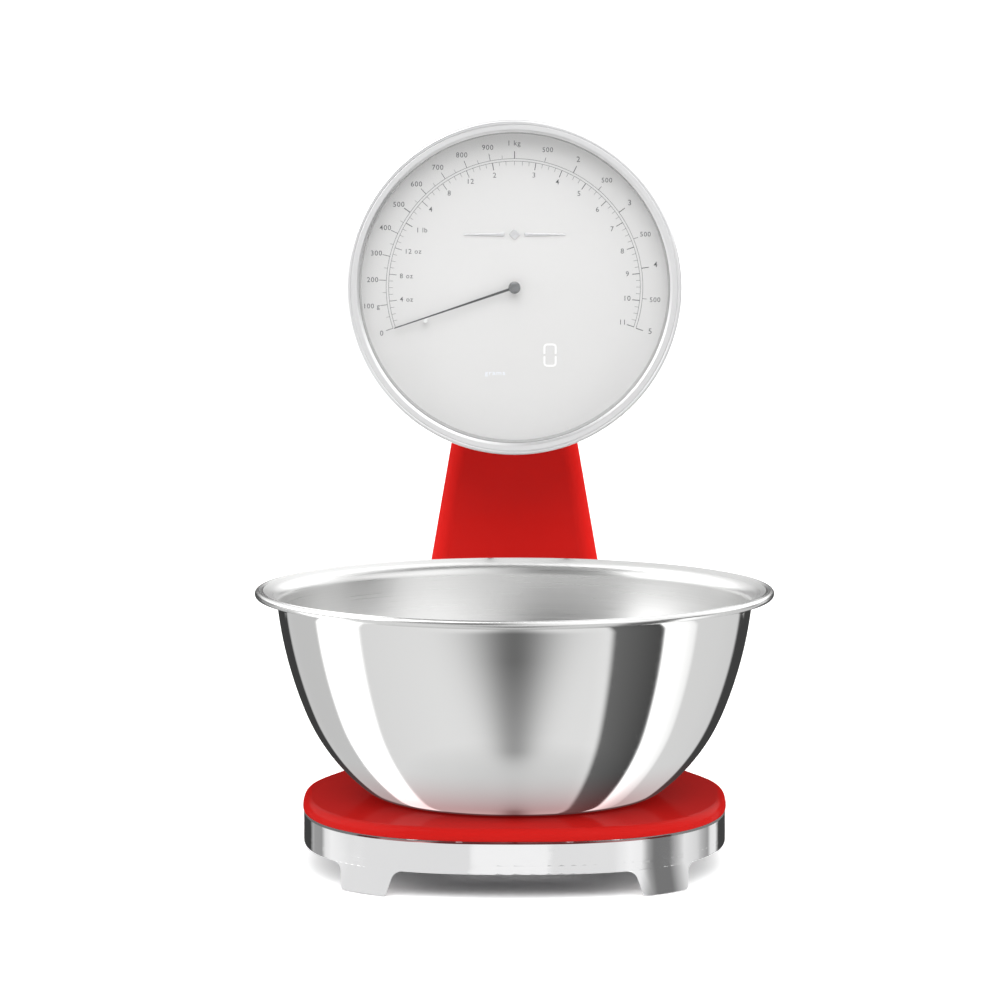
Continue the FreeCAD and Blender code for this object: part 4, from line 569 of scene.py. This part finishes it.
def finer(points):
    """Extra points on the long smooth stretches, so that reflections run evenly over them."""
    made = []
    for i in range(len(points) - 1):
        a, b = points[i], points[i + 1]
        made.append(a)
        step = math.dist(a, b)
        count = int(step / LONGEST_ROW)
        if count < 1 or turn_at(points, i) > SHARP_TURN or turn_at(points, i + 1) > SHARP_TURN:
            continue
        before, after = points[i - 1], points[i + 2]
        slope_a = slope(step, rise(a, b), math.dist(before, a), rise(before, a))
        slope_b = slope(step, rise(a, b), math.dist(b, after), rise(b, after))
        for j in range(1, count + 1):
            made.append(on_cubic(a, slope_a, b, slope_b, j / (count + 1)))
    return made + [points[-1]]


def row_of(bm, radius, height):
    """One ring of the bowl's corners, or its middle point."""
    if radius == 0.0:
        return [bm.verts.new((BOWL_X, BOWL_Y, height))]
    angles = (2 * math.pi * k / BOWL_SEGMENTS for k in range(BOWL_SEGMENTS))
    around_it = ((BOWL_X + radius * math.cos(a), BOWL_Y + radius * math.sin(a), height) for a in angles)
    return [bm.verts.new(corner) for corner in around_it]


def turned_bowl():
    bm = bmesh.new()
    rows = [row_of(bm, radius, height) for radius, height in finer(bowl_section())]
    for low, high in zip(rows, rows[1:]):
        for k in range(BOWL_SEGMENTS):
            j = (k + 1) % BOWL_SEGMENTS
            near = [low[0]] if len(low) == 1 else [low[k], low[j]]
            far = [high[0]] if len(high) == 1 else [high[j], high[k]]
            bm.faces.new(near + far)
    made = object_from(bm, "bowl_steel_shell", LOOKS["bowl_steel"], "bowl", True)
    made.data.set_sharp_from_angle(angle=SHARP_TURN)
    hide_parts("bowl")


# ------------------------------------------------------------------ the printed dial
START_DEG, ONE_KG_DEG, END_DEG = 198.7, 90.0, -18.7  # from +X towards +Z
OUTER_R, INNER_R = 0.0662, 0.0649
OUNCE = 0.0283495
POUND = 0.4535924
# how long the printed ticks are
LONG_TICK = 0.0038
GRAM_TICK = 0.0019
HALF_KILO_TICK = 0.0024
OUNCE_TICK = 0.0021
START_TICK = 0.0034
# and how wide
RING_LINE = 0.0002
THIN_TICK = 0.0002
QUARTER_POUND_TICK = 0.00022
HALF_TICK = 0.00026
MAIN_TICK = 0.0003
POUND_TICK = 0.00040
WIDE_TICK = 0.00042
WIDEST_TICK = 0.00046
NUMERAL_SIZE = 0.0037
NUMERAL_WEIGHT = 0.00001


def around(radius, degrees):
    a = math.radians(degrees)
    return radius * math.cos(a), radius * math.sin(a)


def on_dial(x, z, lift=0.0):
    """A place on the dial, from its centre, lifted off the plate towards the glass."""
    return Vector((DIAL_X + x, DIAL_Y - lift, DIAL_Z + z))


def slab(bm, outline, thickness):
    """A closed flat piece on the dial from its outline, in order."""
    back = [bm.verts.new(p) for p in outline]
    front = [bm.verts.new(p + Vector((0, -thickness, 0))) for p in outline]
    bm.faces.new(back)
    bm.faces.new(list(reversed(front)))
    for i in range(len(outline)):
        j = (i + 1) % len(outline)
        bm.faces.new((back[j], back[i], front[i], front[j]))


def tick(bm, first, last, degrees, width):
    a = math.radians(degrees)
    side = Vector((-math.sin(a), 0, math.cos(a))) * width / 2
    near, far = on_dial(*around(first, degrees)), on_dial(*around(last, degrees))
    slab(bm, [near - side, far - side, far + side, near + side], INK_THICKNESS)


def arc(bm, radius, width, first, last, steps):
    """A thin printed line along a circle."""
    low, high = radius - width / 2, radius + width / 2
    corners = ((low, 0.0), (high, 0.0), (high, INK_THICKNESS), (low, INK_THICKNESS))
    sections = []
    for k in range(steps + 1):
        degrees = first + (last - first) * k / steps
        sections.append([bm.verts.new(on_dial(*around(r, degrees), lift)) for r, lift in corners])
    bar(bm, sections)


def letters(bm, text, x, z, size, width=None, weight=0.0):
    """Upright characters on the dial, centred on (x, z) from its centre."""
    curve = bpy.data.curves.new("letters", "FONT")
    curve.body = text
    curve.size = size
    curve.align_x, curve.align_y = "CENTER", "CENTER"
    curve.resolution_u = 3
    curve.space_character = 1.12
    curve.offset = weight
    curve.extrude = INK_THICKNESS / 2
    holder = bpy.data.objects.new("letters", curve)
    scene.collection.objects.link(holder)
    bpy.context.view_layer.update()
    mesh = bpy.data.meshes.new_from_object(holder)
    xs = [v.co.x for v in mesh.vertices]
    ys = [v.co.y for v in mesh.vertices]
    middle = Vector(((min(xs) + max(xs)) / 2, (min(ys) + max(ys)) / 2, 0))
    stretch = width / (max(xs) - min(xs)) if width else 1.0
    for v in mesh.vertices:
        p = v.co - middle
        v.co = on_dial(x + p.x * stretch, z + p.y, INK_THICKNESS / 2 + p.z)
    bm.from_mesh(mesh)
    bpy.data.objects.remove(holder)
    bpy.data.curves.remove(curve)
    bpy.data.meshes.remove(mesh)


def gram_angle(kilograms):
    """The dial's own scale: the first kilogram takes half the sweep and the other four the rest."""
    if kilograms <= 1:
        return START_DEG + (ONE_KG_DEG - START_DEG) * kilograms
    return ONE_KG_DEG + (END_DEG - ONE_KG_DEG) * (kilograms - 1) / 4


def outer_tick(bm, length, kilograms, width):
    tick(bm, OUTER_R, OUTER_R + length, gram_angle(kilograms), width)


def inner_tick(bm, length, kilograms, width):
    tick(bm, INNER_R - length, INNER_R, gram_angle(kilograms), width)


def dial_lines():
    bold, fine = bmesh.new(), bmesh.new()
    for radius in (OUTER_R, INNER_R):
        arc(bold, radius, RING_LINE, START_DEG, END_DEG, 150)
    for k in range(21):  # every 50 g up to 1 kg
        major = k % 2 == 0
        width = WIDEST_TICK if k in (10, 20) else MAIN_TICK if major else THIN_TICK
        outer_tick(bold if major else fine, LONG_TICK if major else GRAM_TICK, k * 0.05, width)
    for k in range(3, 11):  # every 500 g up to 5 kg
        whole = k % 2 == 0
        outer_tick(bold, LONG_TICK if whole else HALF_KILO_TICK, k * 0.5, WIDE_TICK if whole else HALF_TICK)
    for k in range(1, 35):  # every ounce up to 1 kg
        major = k % 4 == 0
        width = WIDE_TICK if k % 16 == 0 else MAIN_TICK if major else THIN_TICK
        inner_tick(bold if major else fine, LONG_TICK if major else OUNCE_TICK, k * OUNCE, width)
    inner_tick(fine, OUNCE_TICK, 1, THIN_TICK)
    for k in range(10, 45):  # every quarter pound up to 5 kg
        major = k % 4 == 0
        width = POUND_TICK if major else QUARTER_POUND_TICK
        inner_tick(bold if major else fine, LONG_TICK if major else OUNCE_TICK, k * POUND / 4, width)
    inner_tick(bold, START_TICK, 0, MAIN_TICK)
    object_from(bold, "dial_scale_lines", INK, "scale_body")
    object_from(fine, "dial_fine_lines", FINE_INK, "scale_body")


def dial_numerals():
    """The numbers and units, each group by its radius, with its angle and its share of the usual size."""
    bm = bmesh.new()

    def label(text, radius, degrees, share=1.0):
        letters(bm, text, *around(radius, degrees), NUMERAL_SIZE * share, weight=NUMERAL_WEIGHT)

    label("0", 0.0726, START_DEG + 0.4)
    label("100 g", 0.0742, gram_angle(0.1), 0.95)
    for k in range(2, 10):
        label(str(k * 100), 0.0733, gram_angle(k / 10))
    label("1 kg", 0.0738, gram_angle(1))
    for k in range(3, 11, 2):
        label("500", 0.0728, gram_angle(k * 0.5), 0.95)
    for k in range(2, 6):
        label(str(k), 0.0736, gram_angle(k) + 0.7, 1.1)
    label("4 oz", 0.0561, gram_angle(4 * OUNCE), 0.95)
    label("8 oz", 0.0561, gram_angle(8 * OUNCE), 0.95)
    label("12 oz", 0.0552, gram_angle(12 * OUNCE) - 1.3, 0.95)
    label("1 lb", 0.0559, gram_angle(POUND) - 1.2, 0.95)
    for k in (20, 24, 28):
        label(str(k - 16), 0.0590, gram_angle(k * OUNCE))
    for k in range(2, 12):
        label(str(k), 0.0586, gram_angle(k * POUND) + (0.5 if k > 8 else 0.0))
    object_from(bm, "dial_numerals", INK, "scale_body")


# ------------------------------------------------------------------ the lit read-out
LIT_STROKE = 0.0010
NOUGHT_CENTRE = (0.01835, -0.0351)
NOUGHT_WIDTH, NOUGHT_HEIGHT = 0.0068, 0.0120
NOUGHT_CORNER = 0.0014
NOUGHT_GAP = 0.0012
CORNER_STEPS = 6
GRAMS_X, GRAMS_Z = -0.0101, -0.0450
GRAMS_SIZE = 0.0034
GRAMS_WIDTH = 0.0104


def half_nought():
    """The upper half of a lit nought: a rounded outline that ends at a gap at mid height on each side."""
    half_w, half_h = (NOUGHT_WIDTH - LIT_STROKE) / 2, (NOUGHT_HEIGHT - LIT_STROKE) / 2
    points = [(-half_w, NOUGHT_GAP / 2), (-half_w, half_h - NOUGHT_CORNER)]
    for k in range(1, CORNER_STEPS + 1):
        a = math.pi - k * math.pi / (2 * CORNER_STEPS)
        points.append((-half_w + NOUGHT_CORNER + NOUGHT_CORNER * math.cos(a),
                       half_h - NOUGHT_CORNER + NOUGHT_CORNER * math.sin(a)))
    return points + [(-x, z) for x, z in reversed(points)]


def thick_line(bm, points, stroke, centre):
    sections = []
    for i, (x, z) in enumerate(points):
        (ax, az), (bx, bz) = points[max(i - 1, 0)], points[min(i + 1, len(points) - 1)]
        length = math.hypot(bx - ax, bz - az)
        nx, nz = -(bz - az) / length * stroke / 2, (bx - ax) / length * stroke / 2
        low = (centre[0] + (x - nx), centre[1] + (z - nz))
        high = (centre[0] + (x + nx), centre[1] + (z + nz))
        corners = ((low, 0), (high, 0), (high, INK_THICKNESS), (low, INK_THICKNESS))
        sections.append([bm.verts.new(on_dial(*place, lift)) for place, lift in corners])
    bar(bm, sections)


def lit_display():
    white = glow("lit_white", colour(0.45, 0.45, 0.45), colour(1.0, 1.0, 1.0), 0.50)
    cool = glow("lit_cool", colour(0.50, 0.52, 0.56), colour(0.88, 0.92, 1.0), 0.42)
    bm = bmesh.new()
    for flip in (1, -1):
        thick_line(bm, [(x, z * flip) for x, z in half_nought()], LIT_STROKE, NOUGHT_CENTRE)
    object_from(bm, "lit_digit", white, "scale_body")
    bm = bmesh.new()
    letters(bm, "grams", GRAMS_X, GRAMS_Z, GRAMS_SIZE, width=GRAMS_WIDTH)
    object_from(bm, "lit_unit", cool, "scale_body")


# ------------------------------------------------------------------ the dial's ornament
BADGE_Z = 0.0272
BADGE_THICKNESS = 0.0006
BADGE_BEVEL = 0.00018
LOZENGE_HALF_WIDTH, LOZENGE_HALF_HEIGHT = 0.0030, 0.0027
BAR_FROM, BAR_TO = 0.0052, 0.0262
BAR_HALF_ROOT, BAR_HALF_TIP = 0.00085, 0.00030


def dial_badge():
    """A plain metal ornament: a lozenge between two tapering bars."""
    bm = bmesh.new()

    def at(x, z):
        return on_dial(x, BADGE_Z + z)

    slab(bm, [at(-LOZENGE_HALF_WIDTH, 0), at(0, LOZENGE_HALF_HEIGHT), at(LOZENGE_HALF_WIDTH, 0),
              at(0, -LOZENGE_HALF_HEIGHT)], BADGE_THICKNESS)
    for side in (1, -1):
        outline = [at(side * BAR_FROM, -BAR_HALF_ROOT), at(side * BAR_TO, -BAR_HALF_TIP),
                   at(side * BAR_TO, BAR_HALF_TIP), at(side * BAR_FROM, BAR_HALF_ROOT)]
        slab(bm, outline[::side], BADGE_THICKNESS)
    badge = object_from(bm, "dial_badge", BADGE, "scale_body")
    bevel = badge.modifiers.new("edges", "BEVEL")
    bevel.width, bevel.segments = BADGE_BEVEL, 2


turned_bowl()
dial_lines()
dial_numerals()
lit_display()
dial_badge()


# ------------------------------------------------------------------ floor, light and camera
FLOOR_HALF = 6.0
FLOOR_TO_CAMERA = 1.45
EVEN_WHITE = 0.38  # what matt surfaces get from every side
WHITE_BEHIND = 1.1
# the studio walls: degrees from straight ahead, positive to the right, and the brightness there
LOW_WALL = (  # by the way a surface faces when it mirrors this part of the room to the front
    (-90, 0.05), (-73.6, 0.05), (-72.8, 0.62), (-68, 0.60), (-56.6, 0.62), (-55.6, 1.9), (-41.8, 1.9),
    (-40.4, 0.80), (-20, 0.86), (20, 0.86), (23.6, 0.90), (25.2, 0.155), (38.6, 0.075), (39.8, 1.9),
    (45, 1.3), (49.5, 1.05), (50.5, 0.76), (60, 0.74), (70.5, 0.69), (72.0, 0.055), (90, 0.05),
)
MIDDLE_WALL = (
    (-180, 0.95), (-174, 0.95), (-172, 0.06), (-165, 0.06), (-163, 0.90), (-155, 0.80), (-144, 0.36),
    (-132, 0.34), (-127, 0.85), (-118, 0.99), (-103, 0.89), (-96, 0.83), (-12, 0.83), (-11, 1.01),
    (8, 1.01), (9, 0.84), (40, 0.84), (52, 1.02), (61, 0.97), (66.6, 0.39), (72, 0.20), (86, 0.20),
    (95.6, 0.57), (102, 0.87), (109, 0.82), (117, 0.75), (124, 0.51), (133, 0.34), (137, 0.85),
    (163, 1.01), (180, 1.0),
)
BACK_FLAG = (  # the middle wall again, with a dark flag behind
    (-180, 0.04), (-152, 0.04), *(stop for stop in MIDDLE_WALL if abs(stop[0]) < 146), (147, 0.85),
    (152, 0.04), (180, 0.04),
)
CEILING = (
    (-180, 0.80), (-150, 1.3), (-125, 2.6), (-70, 2.8), (-55, 0.45), (-12, 0.25), (12, 1.0), (40, 1.5),
    (78, 1.3), (92, 1.0), (112, 1.6), (135, 2.1), (150, 2.0), (180, 0.95),
)
BRIGHTEST = 3.0
# the camera's view as a direction: its level part, its fall, and the one by the other
VIEW_AHEAD, VIEW_FALL, VIEW_SLOPE = 0.989, 0.15, 0.152
UPRIGHT_SEES = 0.182  # the sine of how far down an upright mirror at the foot looks from the camera
STRAIGHT_DOWN = 0.05  # the brightness under the bowl's flat middle
WEDGE_DEPTH = 0.84
MOST_LEAN = 0.45
CAMERA_LENS = 173.8
CAMERA_SHIFT = -0.0145
CAMERA_BACK, CAMERA_UP = 2.423, 0.4405
CAMERA_TIP = 6.10


def studio_floor():
    """White paper, a little brighter to the camera than to the object, so that it runs out to pure white."""
    look = Look("studio_floor")
    fibre = look.noise(look.place(), 600.0, 2.0)
    seen = look.node("ShaderNodeLightPath").outputs["Is Camera Ray"]
    gain = look.ranged(seen, 0.0, 1.0, 1.0, FLOOR_TO_CAMERA)
    white = look.times(look.ranged(fibre, 0.3, 0.7, 0.92, 0.94), gain)
    paper = look.node("ShaderNodeBsdfDiffuse", {"Color": white})
    look.output(paper.outputs[0])
    bm = bmesh.new()
    bmesh.ops.create_grid(bm, x_segments=4, y_segments=4, size=FLOOR_HALF)
    mesh = bpy.data.meshes.new("studio_floor")
    bm.to_mesh(mesh)
    bm.free()
    mesh.materials.append(look.material)
    floor = bpy.data.objects.new("studio_floor", mesh)
    floor.visible_glossy = False
    scene.collection.objects.link(floor)


def wall(look, turn, stops):
    """A ring of soft boxes and flags around the object, as one colour ramp over the azimuth."""
    ramp = look.node("ShaderNodeValToRGB", {"Fac": look.ranged(turn, -math.pi, math.pi, 0.0, 1.0)})
    elements = ramp.color_ramp.elements
    for i, (degrees, value) in enumerate(stops):
        at = degrees / 360 + 0.5
        stop = elements[i] if i < 2 else elements.new(at)
        stop.position = at
        v = value / BRIGHTEST
        stop.color = (v, v, v, 1.0)
    return look.times(ramp.outputs["Color"], BRIGHTEST)


def faced_by(look, axes):
    """Which way a surface faces, in radians from the front, when it mirrors this direction to the camera.

    The second result says how near to upright it is. One that leans under turns out of sight before it faces
    sideways, so the stripes close up with it.
    """
    ahead = look.math("SUBTRACT", VIEW_AHEAD, axes["Y"])
    facing = look.math("ARCTAN2", axes["X"], ahead)
    level = look.length(axes["X"], ahead)
    under = look.times(look.plus(axes["Z"], VIEW_FALL), -1.0)
    lean = look.math("DIVIDE", under, look.math("MAXIMUM", level, 0.01))
    lean = look.math("MINIMUM", look.math("MAXIMUM", look.times(lean, VIEW_SLOPE), 0.0), MOST_LEAN)
    return look.times(facing, look.math("DIVIDE", math.pi / 2, look.math("ARCCOSINE", lean))), level


def low_room(look, axes):
    """What a surface that leans under sees: the low wall, with a soft dark wedge straight ahead."""
    height = axes["Z"]
    facing, level = faced_by(look, axes)
    room = wall(look, look.times(facing, 2.0), [(2 * degrees, value) for degrees, value in LOW_WALL])
    room = mixed(look, look.ranged(level, 0.14, 0.26, 0.0, 1.0, True), STRAIGHT_DOWN, room)
    room = look.times(room, look.ranged(height, -0.98, -0.80, 0.85, 1.05))
    wide = look.ranged(height, -0.94, -0.30, math.radians(5.2), math.radians(11.8))
    wedge = look.math("EXPONENT", look.times(look.square(look.math("DIVIDE", facing, wide)), -1.0))
    wedge = look.times(wedge, look.ranged(height, -0.97, -0.48, 0.55, 0.96))
    wedge = look.times(wedge, look.ranged(height, -0.99, -0.86, 0.12, 1.0, True))
    return look.times(room, look.rest_of(look.times(wedge, WEDGE_DEPTH)))


def seen_by_upright(look, turn, height):
    """1 where an upright face looks from the camera, and 0 where only one that leans under does."""
    half_turn = look.times(turn, 0.4999)
    fall = look.math("DIVIDE", look.plus(height, UPRIGHT_SEES), look.math("COSINE", half_turn))
    grazing = look.times(
        look.ranged(look.math("ABSOLUTE", turn), math.radians(146), math.radians(152), 0.0, 1.0),
        look.ranged(height, -0.23, -0.20, 0.0, 1.0),
    )
    return look.times(look.ranged(fall, -0.035, -0.012, 0.0, 1.0, True), look.rest_of(grazing))


def studio_world():
    """White to the camera and even to matt surfaces; polished ones see a studio of soft boxes and flags."""
    world = bpy.data.worlds.new("studio")
    world.use_nodes = True
    scene.world = world
    look = Look("studio", world.node_tree)
    direction = look.node("ShaderNodeTexCoord").outputs["Generated"]
    axes = look.node("ShaderNodeSeparateXYZ", {"Vector": direction}).outputs
    height = axes["Z"]
    turn = look.math("ARCTAN2", axes["X"], look.times(axes["Y"], -1.0))
    middle = wall(look, turn, MIDDLE_WALL)
    room = mixed(look, seen_by_upright(look, turn, height), low_room(look, axes), middle)
    room = mixed(look, look.ranged(height, 0.015, 0.04, 0.0, 1.0, True), room, wall(look, turn, BACK_FLAG))
    room = mixed(look, look.ranged(height, 0.15, 0.24, 0.0, 1.0, True), room, wall(look, turn, CEILING))
    path = look.node("ShaderNodeLightPath").outputs
    matt = look.math("MAXIMUM", path["Is Diffuse Ray"], path["Is Shadow Ray"])
    light = mixed(look, path["Is Glossy Ray"], mixed(look, matt, WHITE_BEHIND, EVEN_WHITE), room)
    back = look.node("ShaderNodeBackground", {"Color": light, "Strength": 1.0})
    look.output(back.outputs[0], "ShaderNodeOutputWorld")


def soft_sun(name, towards, strength, spread_deg):
    """Even light from one side of the studio, too wide for a hard shadow, and not seen in the metal."""
    light = bpy.data.lights.new(name, "SUN")
    light.energy = strength
    light.angle = math.radians(spread_deg)
    lamp = bpy.data.objects.new(name, light)
    lamp.rotation_euler = Vector(towards).to_track_quat("Z", "Y").to_euler()
    lamp.visible_glossy = False
    scene.collection.objects.link(lamp)


def front_camera():
    """In front and a little above, tipped down."""
    data = bpy.data.cameras.new("photo_camera")
    data.sensor_width = 36.0
    data.lens = CAMERA_LENS
    data.shift_x = CAMERA_SHIFT
    data.clip_start, data.clip_end = 0.1, 60.0
    camera = bpy.data.objects.new("photo_camera", data)
    camera.location = (0.0, -CAMERA_BACK, CAMERA_UP)
    camera.rotation_euler = (math.radians(90 - CAMERA_TIP), 0.0, 0.0)
    scene.collection.objects.link(camera)
    scene.camera = camera


studio_floor()
studio_world()
soft_sun("key_light", (-0.02, -0.80, 1.0), 2.3, 60.0)
soft_sun("left_light", (-1.0, -0.10, 0.28), 1.8, 40.0)
soft_sun("right_light", (1.0, -0.10, 0.28), 2.0, 40.0)
front_camera()
scene.view_settings.view_transform = "Standard"
